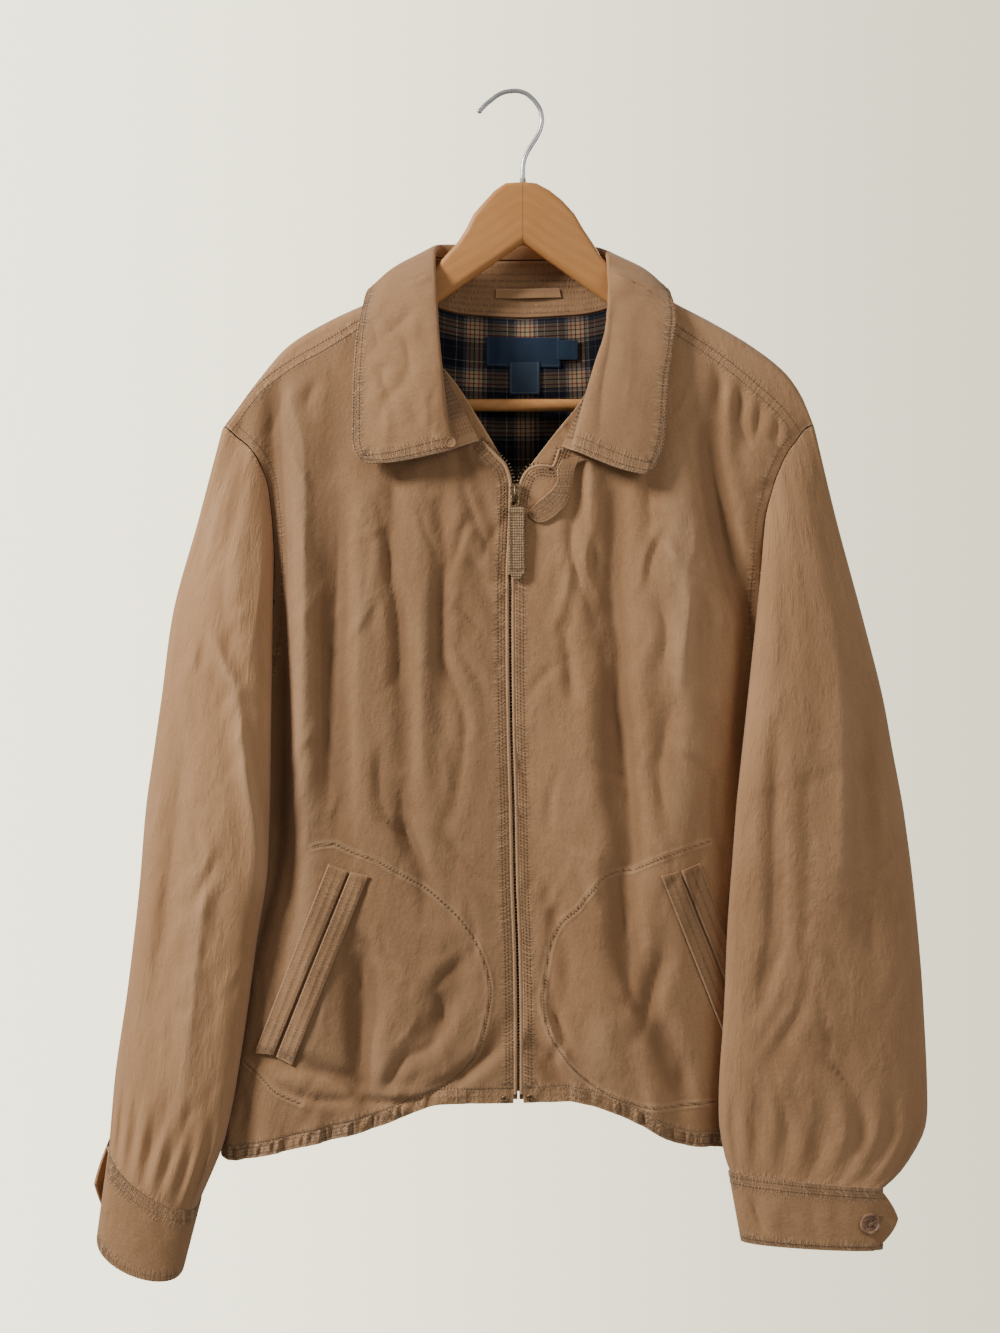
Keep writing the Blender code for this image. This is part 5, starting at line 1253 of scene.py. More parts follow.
def horn(name):
    s = Shader(name, Coat_Weight=0.25, Coat_Roughness=0.25)
    place = s.place("Object")
    grain = s.noise(place, (160.0, 160.0, 420.0), 4.0, 0.6)
    colour = s.mix(grain.above(0.35, 0.7), (0.155, 0.076, 0.038), (0.40, 0.225, 0.118))
    return s.paint(colour, grain * 0.25 + 0.35, grain, 0.0001, 0.4)


def varnished_wood(name):
    """Orange-brown varnish, its grain along each arm and a joint at the middle."""
    s = Shader(name, Coat_Weight=0.35, Coat_Roughness=0.22, Coat_IOR=1.45)
    x, y, z = s.parts(s.place("Object"))
    out = (x - CENTRE * MM).sum("ABSOLUTE", x - CENTRE * MM)
    along = out * 0.85 - z * 0.52
    across = out * 0.52 + z * 0.85
    place = s.add("ShaderNodeCombineXYZ", {}, {0: along, 1: across, 2: y})
    waver = s.noise(place, 14.0, 2.0)
    ring = ((across + waver * 0.016) * (2 * math.pi / 0.0085)).sine()
    fibre = s.noise(place, (45.0, 1100.0, 1100.0), 3.0, 0.6)
    tone = ring * 0.05 + fibre * 0.6 + waver * 0.35
    colour = s.mix(tone.above(0.2, 0.85), (0.62, 0.255, 0.070), (0.80, 0.39, 0.125))
    joint = out.bell(0.00045) * z.above(-0.22, -0.21)
    colour = s.mix(joint * 0.6, colour, (0.20, 0.08, 0.025))
    depth = y.size().above(0.0035, 0.0062)
    colour = s.mix(depth * 0.35, colour, (0.30, 0.12, 0.035))
    return s.paint(colour, fibre * 0.15 + 0.34, fibre * 0.35 - joint, 0.0002, 0.4)


def wire_steel(name):
    s = Shader(name, Metallic=0.75)
    scratch = s.noise(s.place("Object"), (900.0, 900.0, 200.0), 3.0)
    colour = s.mix(scratch, (0.50, 0.50, 0.51), (0.80, 0.80, 0.79))
    return s.paint(colour, scratch * 0.2 + 0.22, scratch, 0.00005, 0.3)


FINISH = {
    "twill": washed_twill("Washed tan twill", pucker=1.4),
    # a darker copy with painted shade, for the right front where its sleeve shades it
    "shaded": washed_twill("Washed tan twill, painted shade", 0.80, pucker=1.4),
    # a paler copy with painted light, for the right sleeve where the key light falls most
    "pale": washed_twill("Washed tan twill, painted light", 1.10, pucker=1.4),
    "edge": washed_twill("Doubled twill", 1.0, 0.6),
    "leaf": washed_twill("Collar twill", 0.94, 0.7, 2.6, 4.4, 2.4),
    "cuff": washed_twill("Cuff twill", 0.96, 0.9, 2.8, 4.2, 2.2),
    "gathered": washed_twill("Gathered casing", 0.92, 0.9, 5.5, 6.0, 2.2),
    "stand": washed_twill("Row-stitched twill", 0.80, 0.4, 2.4, 1.3, 1.9),
    "welt": washed_twill("Close-stitched twill", 0.86, 0.5, 1.7, 1.7, 1.3),
    "lining": plaid("Plaid lining"),
    "label_main": woven_label("Navy damask", (0.012, 0.026, 0.055), (0.055, 0.085, 0.13)),
    "label_size": woven_label("Blue damask", (0.018, 0.040, 0.075), (0.008, 0.018, 0.04)),
    "label_care": woven_label("Slate satin", (0.030, 0.050, 0.080), (0.10, 0.13, 0.17)),
    "webbing": webbing("Tan webbing"),
    "zip_metal": aged_brass("Aged brass"),
    "button": horn("Brown horn"),
    "wood": varnished_wood("Varnished wood"),
    "steel": wire_steel("Plated wire"),
    "thread": thread_finish("Topstitch thread", (0.17, 0.092, 0.042)),
    "pale_thread": thread_finish("Tan thread", (0.36, 0.225, 0.12)),
    "ferrule": thread_finish("Ferrule", (0.55, 0.50, 0.42)),
}


# ---------------------------------------------------------------- making

def at_rest(thing, name, finish, body_name="jacket", replaces=()):
    """Names a finished piece, gives it its finish and its body, and hides the solids that it stands for."""
    thing.name = name
    thing.data.name = name
    if finish is not None:
        thing.data.materials.clear()
        thing.data.materials.append(FINISH[finish])
    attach(thing, body_name)
    if replaces:
        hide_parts(*replaces)
    bpy.ops.object.select_all(action="DESELECT")
    return thing


def apply(thing, kind, **settings):
    bpy.context.view_layer.objects.active = thing
    modifier = thing.modifiers.new(kind.lower(), kind)
    for key, value in settings.items():
        setattr(modifier, key, value)
    bpy.ops.object.modifier_apply(modifier=modifier.name)


ADD = bpy.ops.mesh


def made(operator, **settings):
    """The object that a Blender operator adds."""
    operator(**settings)
    return bpy.context.object


def rounded(thing, width, segments=2, degrees=60):
    """Rounds the edges that are sharper than the angle."""
    apply(thing, "BEVEL", width=width, segments=segments, limit_method="ANGLE",
          angle_limit=math.radians(degrees))


def only(thing):
    bpy.ops.object.select_all(action="DESELECT")
    thing.select_set(True)
    bpy.context.view_layer.objects.active = thing


def smooth(thing, degrees=50):
    only(thing)
    bpy.ops.object.shade_smooth_by_angle(angle=math.radians(degrees))


def in_edit(thing, *steps):
    """Runs operators in edit mode with everything selected."""
    only(thing)
    bpy.ops.object.mode_set(mode="EDIT")
    bpy.ops.mesh.select_all(action="SELECT")
    for step, settings in steps:
        step(**settings)
    bpy.ops.object.mode_set(mode="OBJECT")


OUTWARDS = (bpy.ops.mesh.normals_make_consistent, {"inside": False})


def coordinates(mesh):
    flat = np.empty(len(mesh.vertices) * 3)
    mesh.vertices.foreach_get("co", flat)
    return flat.reshape(-1, 3)


def set_points(thing, points):
    """Moves a mesh's points to places in millimetres."""
    thing.data.vertices.foreach_set("co", (np.asarray(points, float) * MM).ravel())


def repeated(name, thing, scale, places, axes, degrees):
    """A mesh with the small solid scaled and copied to every place, turned to the axes there."""
    points = coordinates(thing.data) * scale
    faces = [tuple(face.vertices) for face in thing.data.polygons]
    bpy.data.objects.remove(thing, do_unlink=True)
    verts = places[:, None] + sum(points[None, :, k, None] * axis[:, None] for k, axis in enumerate(axes))
    mesh = bpy.data.meshes.new(name)
    mesh.from_pydata(verts.reshape(-1, 3) * MM, [], [tuple(index + k * len(points) for index in face)
                                                     for k in range(len(places)) for face in faces])
    thing = bpy.data.objects.new(name, mesh)
    bpy.context.scene.collection.objects.link(thing)
    in_edit(thing, OUTWARDS)
    smooth(thing, degrees)
    return thing


def resampled(points, pitch):
    """A line's points again at an even pitch, and how far along each is."""
    points = np.asarray(points, float)
    length = np.concatenate(([0.0], np.cumsum(np.linalg.norm(np.diff(points, axis=0), axis=1))))
    run = np.arange(pitch / 2, length[-1], pitch)
    return np.stack([np.interp(run, length, column) for column in points.T], axis=-1), run


class Seams:
    """Sewn lines on a piece: how far each point is from the nearest one, and how far along it."""

    def __init__(self, lines):
        samples = [resampled(line, 0.8) for line in lines]
        self.run = np.concatenate([run for places, run in samples])
        self.tree = KDTree(len(self.run))
        for index, place in enumerate(np.concatenate([places for places, run in samples])):
            self.tree.insert(place, index)
        self.tree.balance()

    def at(self, points):
        found = [self.tree.find(point) for point in points]
        return np.array([hit[2] for hit in found]), self.run[[hit[1] for hit in found]]


def mark(mesh, name, values):
    mesh.attributes.new(name, "FLOAT", "POINT").data.foreach_set("value", np.asarray(values, np.float32))


SHEETS = []
FAR = 50.0              # read as nowhere near a seam


def cloth(name, surface, columns, rows, wall, finish="twill", outwards=False, ring=False,
          seams=(), quiet=(), lined=False, cut=None, lift=None, nodes=None):
    """A thin shell over a grid that the surface gives. cut tells each point's place on the flat cloth."""
    thing = made(ADD.primitive_grid_add, x_subdivisions=columns, y_subdivisions=rows, size=1.0)
    mesh = thing.data
    flat = coordinates(mesh)
    u = np.clip(flat[:, 0] + 0.5, 0, 1)
    v = np.clip(flat[:, 1] + 0.5, 0, 1)
    points = surface(u, v)
    grid = points.reshape(rows + 1, columns + 1, 3)
    across = np.linalg.norm(np.diff(grid, axis=1), axis=2)
    down = np.linalg.norm(np.diff(grid, axis=0), axis=2)
    width = across.sum(axis=1).max()
    length = down.sum(axis=0).max()
    corners = np.cross(grid[1:, 1:] - grid[:-1, :-1], grid[1:, :-1] - grid[:-1, 1:])
    area = np.linalg.norm(corners, axis=2).sum() / 2
    set_points(thing, points)
    place = np.stack((u * width, v * length), axis=-1) if cut is None else cut(u, v)
    nowhere = np.full(len(points), FAR), np.zeros(len(points))
    off, run = Seams(seams).at(points) if seams else nowhere
    quiet_off = (Seams(quiet).at(points) if quiet else nowhere)[0]
    mark(mesh, "seam_off", np.minimum(off, FAR))
    mark(mesh, "quiet_off", np.minimum(quiet_off, FAR))
    mark(mesh, "edge_off", np.minimum.reduce([u * width, (1 - u) * width, (1 - v) * length, 2 + v * length]))
    mark(mesh, "seam_run", run)
    # the creases' height, which the twill's finish uses to paint shade darker into the troughs
    mark(mesh, "lift", np.zeros(len(points)) if lift is None else lift(points))
    loops = np.empty(len(mesh.loops), np.int32)
    mesh.loops.foreach_get("vertex_index", loops)
    mesh.uv_layers[0].data.foreach_set("uv", (place[loops] * MM).astype(np.float32).ravel())
    if ring:
        in_edit(thing, (bpy.ops.mesh.remove_doubles, {"threshold": 0.00002}))
    finishes = [finish, "lining"] if lined else [finish]
    mesh.materials.clear()
    for each in finishes[::-1] if outwards else finishes:
        mesh.materials.append(FINISH[each])
    apply(thing, "SOLIDIFY", thickness=wall * MM, offset=1.0 if outwards else -1.0,
          material_offset=int(lined), material_offset_rim=int(lined and outwards))
    rounded(thing, 0.4 * wall * MM)
    smooth(thing, 60)
    at_rest(thing, name, None, replaces=nodes or (name.replace("cloth_", ""),))
    flat_size = [max(side * MM, 0.0101) for side in (width, length)]
    whole = flat_size[0] * flat_size[1]
    min(max(area * MM * MM, 0.301 * whole), whole)
    SHEETS.append((name, round(width), round(length), round(area)))
    return thing


def stitches(name, lines, pitch=2.7, finish="thread", thick=0.25, length=2.0, body_name="jacket"):
    """Rows of single threads, each a small rounded bar, laid end to end along the lines."""
    places, ahead = [], []
    for line in lines:
        here = resampled(line, pitch)[0]
        if len(here) > 1:
            places.append(here)
            ahead.append(np.gradient(here, axis=0))
    places = np.concatenate(places)
    ahead = np.concatenate(ahead)
    ahead = ahead / np.linalg.norm(ahead, axis=1)[:, None]
    side = np.cross(ahead, (0.02, -1.0, 0.03))
    side = side / np.maximum(np.linalg.norm(side, axis=1), 1e-6)[:, None]
    bar = made(ADD.primitive_uv_sphere_add, segments=6, ring_count=4, radius=1.0)
    size = (thick, thick, length / 2)
    thing = repeated(name, bar, size, places, (side, np.cross(side, ahead), ahead), 80)
    return at_rest(thing, name, finish, body_name)


def beside(points, distance, pitch=4.0):
    """A line beside another in the plane, to the left of its run, its sharp turns softened."""
    line = Line(points)
    count = max(int(line.length[-1] / pitch), 6)
    here = line(np.linspace(0, 1, count + 1))
    ahead = np.gradient(here, axis=0)
    ahead = ahead / np.linalg.norm(ahead, axis=1)[:, None]
    return here + distance * np.stack((-ahead[:, 1], ahead[:, 0]), axis=-1)


def front_row(points, out=0.15):
    """A line of x and z laid on the front."""
    places = resampled(points, 2.0)[0]
    return front_points(places[:, 0], places[:, 1], out)


def smooth_row(points, out=0.15):
    line = Line(points)
    return front_row(line(np.linspace(0, 1, 60)), out)


def on_surface(surface, u, v, out):
    """Points on a surface at u and v, moved off along its normal."""
    u, v = np.broadcast_arrays(np.asarray(u, float), np.asarray(v, float))
    step = 0.001
    along_u = surface(np.clip(u + step, 0, 1), v) - surface(np.clip(u - step, 0, 1), v)
    along_v = surface(u, np.clip(v + step, 0, 1)) - surface(u, np.clip(v - step, 0, 1))
    normal = np.cross(along_u, along_v)
    normal = normal / np.maximum(np.linalg.norm(normal, axis=-1), 1e-9)[..., None]
    return surface(u, v) + out * normal


# ---------------------------------------------------------------- fronts, back and hem

PATCH_LINE = {
    "right": [(-161, -609), (-155, -607), (-144, -606), (-132, -611), (-109, -619)],
    "left": [(93, -626), (111, -618), (144, -607), (155, -604)],
}
BAG_LINE = {
    "right": [(-109, -619), (-91, -629), (-74, -638), (-60, -649), (-43, -665), (-31, -683), (-23, -703),
              (-20, -721), (-24, -747), (-31, -770), (-42, -784), (-52, -793), (-74, -804)],
    "left": [(93, -626), (74, -629), (59, -643), (48, -657), (37, -666), (27, -688), (24, -706), (21, -727),
             (25, -750), (40, -775), (58, -793), (76, -804), (110, -814), (161, -812)],
}
LOW_LINE = [(-218, -780), (-199, -795), (-191, -803), (-168, -812)]


def armhole_row(side, away=7.0):
    points = ARMHOLE_FRONT[side]
    return beside(points[:-1], away if side == "right" else -away)


def zip_row(side, away):
    """A row beside the front's folded edge, from the neck to the hem."""
    places = edge_offset(side, np.linspace(0.0, 0.975, 160), np.full(160, -away))
    x = places[:, 0]
    return x, RIDGE("z", x) - drop_from_path(places[:, 1])


def front_rows(side):
    """Rows of topstitching on a front, as points on its cloth."""
    x, z = zip_row(side, 6.4)
    near_x, near_z = zip_row(side, 1.3)
    hem = hem_line(side, CASING_HEIGHT + 1.2)(np.linspace(0.01, 0.99, 120))
    mid_x, mid_z = zip_row(side, 3.8)
    return [front_row(armhole_row(side)), front_points(x, z, 0.15), front_points(near_x, near_z, 0.12),
            front_points(mid_x, mid_z, 0.15),
            front_points(hem[:, 0], RIDGE("z", hem[:, 0]) - drop_from_path(hem[:, 1]), 0.15)]


def pocket_rows(side):
    """The rows that hold the pocket's bag and its backing patch."""
    lines = [PATCH_LINE[side], BAG_LINE[side]] + ([LOW_LINE] if side == "right" else [])
    return [smooth_row(line) for line in lines]


def front_seams(side):
    """The front's seams, where the cloth is puckered but no thread shows."""
    neck = Line(NECK_FRONT[side])(np.linspace(0, 1, 60))
    shoulder = Line(SHOULDER[side])(np.linspace(0, 1, 80))
    return [front_points(line[:, 0], line[:, 1]) for line in (neck, shoulder)]


def make_fronts():
    for side in SIDES:
        edges = front_edges(side)

        def place(u, v, edges=edges):
            return patch(*edges, u, v)

        def panel(u, v, place=place):
            return body_at(place(u, v))

        rows = front_rows(side)
        quiet = pocket_rows(side)
        # the right front takes the darker copy of the twill, painted shade from its sleeve
        cloth(f"cloth_front_{side}", panel, 94, 240, TWILL, "twill" if side == "left" else "shaded",
              outwards=side == "left", lined=True, cut=place,
              seams=rows + front_seams(side), quiet=quiet, lift=lambda p: front_lift(p[:, 0], p[:, 2]))
        stitches(f"topstitching_front_{side}", rows + quiet)


def shoulder_row(side, above):
    points = beside(SHOULDER[side], SIGN[side] * above)
    return body_at(on_front(points[:, 0], points[:, 1])) + (0, -0.12, 0.08)


def make_back():
    edges = back_edges()
    rows = len(BACK_ROWS) - 1
    columns = len(BACK_COLUMNS) - 1

    def place(u, v):
        u = np.interp(u * columns, range(columns + 1), BACK_COLUMNS)
        v = np.interp(v * rows, range(rows + 1), BACK_ROWS)
        return patch(*edges, u, v)

    def panel(u, v):
        return body_at(place(u, v))

    hem = back_hem_line(CASING_HEIGHT + 1.2)(np.linspace(0.02, 0.98, 160))
    sewn = [shoulder_row(side, 6.5) for side in SIDES] + [body_at(hem) + (0, 0.15, 0)]
    for side in SIDES:
        armhole = [on_back(x, z) for x, z in ARMHOLE_BACK[side][:-1]]
        sewn.append(body_at(beside(armhole, 7.0 * SIGN[side])) + (0, 0.15, 0))
    edge_lines = [shoulder_row(side, 0.0) for side in SIDES]
    neck = back_neck_line()(np.linspace(0, 1, 120))
    cloth("cloth_back", panel, columns * 4, rows * 7, TWILL, lined=True, cut=place,
          seams=sewn + edge_lines + [body_at(neck)],
          lift=lambda p: np.where(p[:, 1] > 0, back_lift(p[:, 0], p[:, 2]), 0))
    stitches("topstitching_back", sewn)


def gathers(x, v, start, seed):
    """Uneven upright tucks of the elastic casing, away from the middle of the hem."""
    dice = np.random.default_rng(seed)
    wave = np.zeros(np.broadcast(x, v).shape)
    for size in (5.6, 7.9, 11.3, 16.7):
        phase, slant = dice.uniform(0, 2 * math.pi, 2)
        wave = wave + np.sin(x * 2 * math.pi / size + phase + 0.9 * np.sin(x / 23 + slant) + (v - 0.5) * 0.8)
    return 0.75 * wave * ease((np.abs(x) - start) / 60) * np.sin(math.pi * np.clip(v, 0.0, 0.88))


def make_hem_casings():
    """The turned hem in three pieces, each gathered on from its start, out being to the front or the back."""
    for name, hem, columns, start, seed, out, near, along in (
            ("right", partial(hem_line, "right"), 170, 40, 41, -1.0, 0.001, 0.995),
            ("left", partial(hem_line, "left"), 170, 40, 41, -1.0, 0.001, 0.995),
            ("back", back_hem_line, 304, 30, 42, 1.0, 0.004, 0.992)):
        top = hem(CASING_HEIGHT + 0.1)
        foot = hem(0)

        def casing(u, v, top=top, foot=foot, start=start, seed=seed, out=out, near=near, along=along):
            u = near + along * u
            points = body_at((1 - v)[..., None] * top(u) + v[..., None] * foot(u))
            points[..., 1] += out * gathers(points[..., 0], v, start, seed)
            return points

        u = np.linspace(0.005, 0.995, 240 if name == "back" else 120)
        seams = [casing(u, np.full(len(u), share)) for share in (0.0, 0.5, 1.0)]
        cloth(f"cloth_hem_casing_{name}", casing, columns, 10, CASING, "gathered", outwards=name == "left",
              seams=seams)
        if name != "back":
            stitches(f"topstitching_hem_{name}", [on_surface(casing, u, 0.16, 0.15 * SIGN[name])])


# ---------------------------------------------------------------- sleeves and cuffs

CUFF_CREASES = {
    "right": crease_rows((-1.4, 4, -283, -880, -281, -898, -277, -912), (1.0, 4, -270, -884, -272, -900)),
    "left": crease_rows((-3.0, 4, 186, -884, 190, -897, 196, -912), (1.0, 5, 204, -884, 206, -905),
                        (-1.0, 4, 232, -892, 236, -908, 238, -918), (-0.8, 4, 250, -884, 256, -900)),
}


def worn_cuff(side, u, v):
    """The cuff with its own shallow creases on the side that faces forward."""
    points = cuff(side, u, v)
    x, y, z = (points[..., k] for k in range(3))
    lift = creases(CUFF_CREASES[side], x, z) + 0.22 * rumple(x, z, 13)
    forward = ease((CUFF[side][0][1] - y) / 8) * np.sin(math.pi * np.clip(v, 0.04, 0.96)) ** 0.7
    points[..., 1] -= lift * forward
    return points


def make_sleeves():
    for side in SIDES:
        tube = partial(sleeve, side)
        around = np.linspace(0, 1, 200)
        ends = [tube(around, np.full(200, share)) for share in (0.0, 0.999)]
        # the right sleeve takes the paler copy of the twill, painted light
        cloth(f"cloth_sleeve_{side}", tube, 144, 138, TWILL, "pale" if side == "right" else "twill",
              outwards=side == "right", ring=True, lined=True,
              seams=ends, lift=lambda p, side=side: sleeve_lift(side, p[:, 0], p[:, 2]))
        band = partial(worn_cuff, side)
        u = np.linspace(0.01, 0.99, 160)
        rows = [on_surface(band, u, share, -0.15 * SIGN[side]) for share in (0.05, 0.15, 0.93)]
        edges = [band(u, np.full(160, share)) for share in (0.0, 1.0)]
        cloth(f"cloth_cuff_{side}", band, 168, 32, CUFF_WALL, "cuff", outwards=True, seams=rows + edges)
        stitches(f"topstitching_cuff_{side}", rows)


# ---------------------------------------------------------------- collar

LEAF_CORNER = (0.032, 0.10)     # the share of half its length and of its depth that the corner's curve takes


def worn_leaf(u, v):
    """The collar leaf with its creases and rounded corners, held a little off the fronts."""
    u, v = np.broadcast_arrays(np.asarray(u, float), np.asarray(v, float))
    across = np.maximum((np.abs(2 * u - 1) - 1 + LEAF_CORNER[0]) / LEAF_CORNER[0], 0)
    down = np.maximum((v - 1 + LEAF_CORNER[1]) / LEAF_CORNER[1], 0)
    drawn_in = np.maximum(across, down) / np.maximum(np.hypot(across, down), 1e-6)
    both = (across > 0) & (down > 0)
    u = np.where(both, 0.5 + 0.5 * np.sign(2 * u - 1) * (1 - LEAF_CORNER[0] * (1 - across * drawn_in)), u)
    v = np.where(both, 1 - LEAF_CORNER[1] * (1 - down * drawn_in), v)
    points = leaf_sheet(u, v)
    x, y, z = (points[..., k] for k in range(3))
    lift = creases(LEAF_CREASES, x, z) + 0.2 * rumple(x, z, 17) + 0.5
    fold = ease((np.broadcast_to(v, x.shape) - 0.12) / 0.2)
    points[..., 1] -= lift * fold * ease((-y - 6) / 18)
    return points


def make_collar():
    count = 200
    u = np.linspace(0.0, 1.0, count)
    leaf_rows = []
    for inset, start in ((0.022, 0.005), (0.105, 0.014)):
        leaf_rows.append(on_surface(worn_leaf, np.linspace(start, 1 - start, count), 1.0 - 0.8 * inset, 2.1))
    for end in (0.005, 0.014, 0.986, 0.995):
        leaf_rows.append(on_surface(worn_leaf, end, np.linspace(0.1, 0.93, 60), 2.1))
    edges = [worn_leaf(u, np.full(count, 1.0))]
    edges += [worn_leaf(np.full(60, end), np.linspace(0, 1, 60)) for end in (0.0, 1.0)]
    cloth("cloth_collar_leaf", worn_leaf, 236, 52, COLLAR_WALL, "leaf", outwards=True,
          seams=leaf_rows + edges,
          lift=lambda p: np.where(p[:, 1] < 0, creases(LEAF_CREASES, p[:, 0], p[:, 2]), 0))
    stitches("topstitching_collar", leaf_rows)
    stand_rows = [on_surface(stand_sheet, np.linspace(0.03, 0.97, count), share, -0.12)
                  for share in np.linspace(0.08, 0.94, 8)]
    cloth("cloth_collar_stand", stand_sheet, 204, 26, COLLAR_WALL, "stand", outwards=True, seams=stand_rows)
    for start, end in ((0.01, 0.2), (0.8, 0.99)):
        stand_rows += [on_surface(stand_sheet, np.linspace(start, end, 60), share, COLLAR_WALL + 0.12)
                       for share in np.linspace(0.1, 0.92, 7)]
    stitches("topstitching_stand", stand_rows, pitch=3.5, thick=0.24, length=2.7)


# ---------------------------------------------------------------- zip

def make_slider_body(place):
    """A rounded block, wide at its top and drawn in towards its foot."""
    thing = made(ADD.primitive_cube_add, size=1.0)
    in_edit(thing, (bpy.ops.mesh.subdivide, {"number_cuts": 3}))
    points = coordinates(thing.data)
    points[:, 0] *= np.interp(points[:, 2], (-0.5, 0.0, 0.5), (0.72, 0.86, 1.0))
    set_points(thing, points * SLIDER_SIZE + place)
    rounded(thing, 0.9 * MM, 3, 50)
    smooth(thing, 40)
    at_rest(thing, "zip_slider_body", "zip_metal", replaces=("zip_slider",))


def bent_wire(name, points, radius, finish, closed=False, body_name="jacket", nodes=()):
    """A round wire along a smooth line."""
    if not closed:
        line = Line(points)
        points = line(np.linspace(0, 1, max(int(line.length[-1] / 2.0), 12)))
    curve = bpy.data.curves.new(name, "CURVE")
    curve.dimensions = "3D"
    curve.bevel_depth = radius * MM
    curve.bevel_resolution = 5
    curve.use_fill_caps = True
    run = curve.splines.new("POLY")
    run.points.add(len(points) - 1)
    for point, place in zip(run.points, points):
        point.co = (*(np.array(place, float) * MM), 1.0)
    run.use_cyclic_u = closed
    thing = bpy.data.objects.new(name, curve)
    bpy.context.scene.collection.objects.link(thing)
    only(thing)
    bpy.ops.object.convert(target="MESH")
    thing = bpy.context.object
    smooth(thing, 50)
    return at_rest(thing, name, finish, body_name, nodes)


def teeth(name, places, ahead):
    """Zip teeth, one small rounded block copied along the tape's edge."""
    tooth = made(ADD.primitive_cube_add, size=1.0)
    apply(tooth, "BEVEL", width=0.18, segments=1)
    side = np.cross(ahead, (0.0, 1.0, 0.0))
    axes = (side, np.broadcast_to((0.0, 1.0, 0.0), side.shape), ahead)
    thing = repeated(name, tooth, TOOTH_SIZE, places, axes, 30)
    return at_rest(thing, name, "zip_metal")


PULL_HINGE_Y = -44.6753       # the depth of the joint that the zip's pull swings on
SLIDER_SIZE = (8.4, 3.0, 15.0)
LINK_HALF, LINK_LONG, LINK_CORNER = 2.9, 7.5, 1.4
TAB_WIDE, TAB_LONG = 12.9, 56.8
TOOTH_SIZE = (3.0, 1.5, 0.95)


def make_zip():
    for side in SIDES:
        cloth(f"cloth_zip_tape_{side}", partial(tape, side), 6, 120, TAPE_WALL, "webbing",
              outwards=side == "left")
        share = np.linspace(0.002, 0.975, 205)
        places = edge_offset(side, share, np.full(205, 2.9))
        x = places[:, 0]
        z = RIDGE("z", x) - drop_from_path(places[:, 1])
        flare = ease((z + 325) / 8)
        reach = 1.4 + 0.3 * flare
        points = front_points(x, z)
        points[:, 1] += TAPE_BACK + 1.0 * ease((-775 - z) / 20) - 0.5
        ahead = np.gradient(points, axis=0)
        ahead = ahead / np.linalg.norm(ahead, axis=1)[:, None]
        away = -SIGN[side] * np.cross(ahead, (0.0, 1.0, 0.0))
        away = away * np.sign(-SIGN[side] * away[:, :1] + 1e-9)
        half_step = 1.2 if side == "left" else 0.0
        teeth(f"zip_teeth_{side}", points + away * (reach - 0.9)[:, None] + ahead * half_step, ahead)
    x, z = SLIDER
    y = PULL_HINGE_Y + 6.0
    make_slider_body((x, y - 2.4, z))
    face = y - 3.9
    hinge = (x, face - 2.1, z - 3.0)
    arch = [(x, face - 1.0 - 3.4 * math.sin(math.pi * t), z + 5.5 - 12.0 * t) for t in np.linspace(0, 1, 13)]
    bent_wire("zip_bridge", arch, 0.75, "zip_metal", nodes=("zip_bail",))
    ring = []
    out, low = LINK_HALF - LINK_CORNER, LINK_CORNER - LINK_LONG
    high = -LINK_CORNER
    for cx, cz, start in ((out, high, 0), (-out, high, 90), (-out, low, 180), (out, low, 270)):
        for turn in np.linspace(0, 90, 6):
            angle = math.radians(start + turn)
            ring.append((x + cx + LINK_CORNER * math.cos(angle), hinge[1],
                         hinge[2] + cz + LINK_CORNER * math.sin(angle)))
    bent_wire("pull_ring", ring, 0.6, "zip_metal", closed=True, body_name="zip_pull",
              nodes=("zip_pull_link",))
    make_pull_tab(x + 1.2, hinge[1], hinge[2] - 8.4)


def zip_fold(side, u, v):
    """The narrow fold of cloth that closes over the teeth."""
    places = edge_offset(side, 0.004 + 0.986 * v, 0.25 + 2.0 * u)
    x = places[..., 0]
    points = front_points(x, RIDGE("z", x) - drop_from_path(places[..., 1]))
    points[..., 1] += 0.9 - 0.8 * np.sin(math.pi * np.clip(u, 0.05, 0.95))
    return points


def make_zip_folds():
    for side in SIDES:
        cloth(f"cloth_zip_fold_{side}", partial(zip_fold, side), 6, 200, 0.7, "edge", outwards=side == "left",
              nodes=(f"zip_tape_{side}",))


def make_pull_tab(x, y, top):
    """A folded webbing tab with a cord along each edge and a bar of stitching near its foot."""
    thing = made(ADD.primitive_cube_add, size=1.0)
    in_edit(thing, (bpy.ops.mesh.subdivide, {"number_cuts": 15}))
    points = coordinates(thing.data)
    across = points[:, 0] * 2
    cord = np.exp(-((np.abs(across) - 0.84) / 0.13) ** 2)
    thick = 1.7 + 0.9 * cord - 0.9 * np.maximum(np.abs(across) - 0.9, 0) * 10 * 0.6
    drop = points[:, 2] - 0.5
    nip = 1.0 - 0.10 * np.exp(-((drop + 0.86) / 0.02) ** 2)
    ends = 1.0 - 0.16 * np.maximum(np.abs(points[:, 2]) * 2 - 0.94, 0) / 0.06 * np.abs(across) ** 3
    sway = 0.35 * np.sin(drop * 5.0)
    set_points(thing, np.stack((x + points[:, 0] * TAB_WIDE + sway * 0.4,
                                y + points[:, 1] * thick * nip + sway * 0.3,
                                top + drop * TAB_LONG * ends), axis=-1))
    rounded(thing, 0.35 * MM, 2, 50)
    smooth(thing, 50)
    at_rest(thing, "pull_tab", "webbing", "zip_pull", ("zip_pull_tab",))
    face, foot, head = y - 1.15, top - 49.0, top - 5.0
    rows = [[(x - 5.8, face, z), (x + 5.8, face, z)] for z in (foot, head)]
    rows += [[(x + out, face, head), (x + out, y - 1.1, foot)] for out in (-4.1, 4.1)]
    stitches("pull_tab_stitching", rows, pitch=2.2, length=1.7, thick=0.22, body_name="zip_pull")


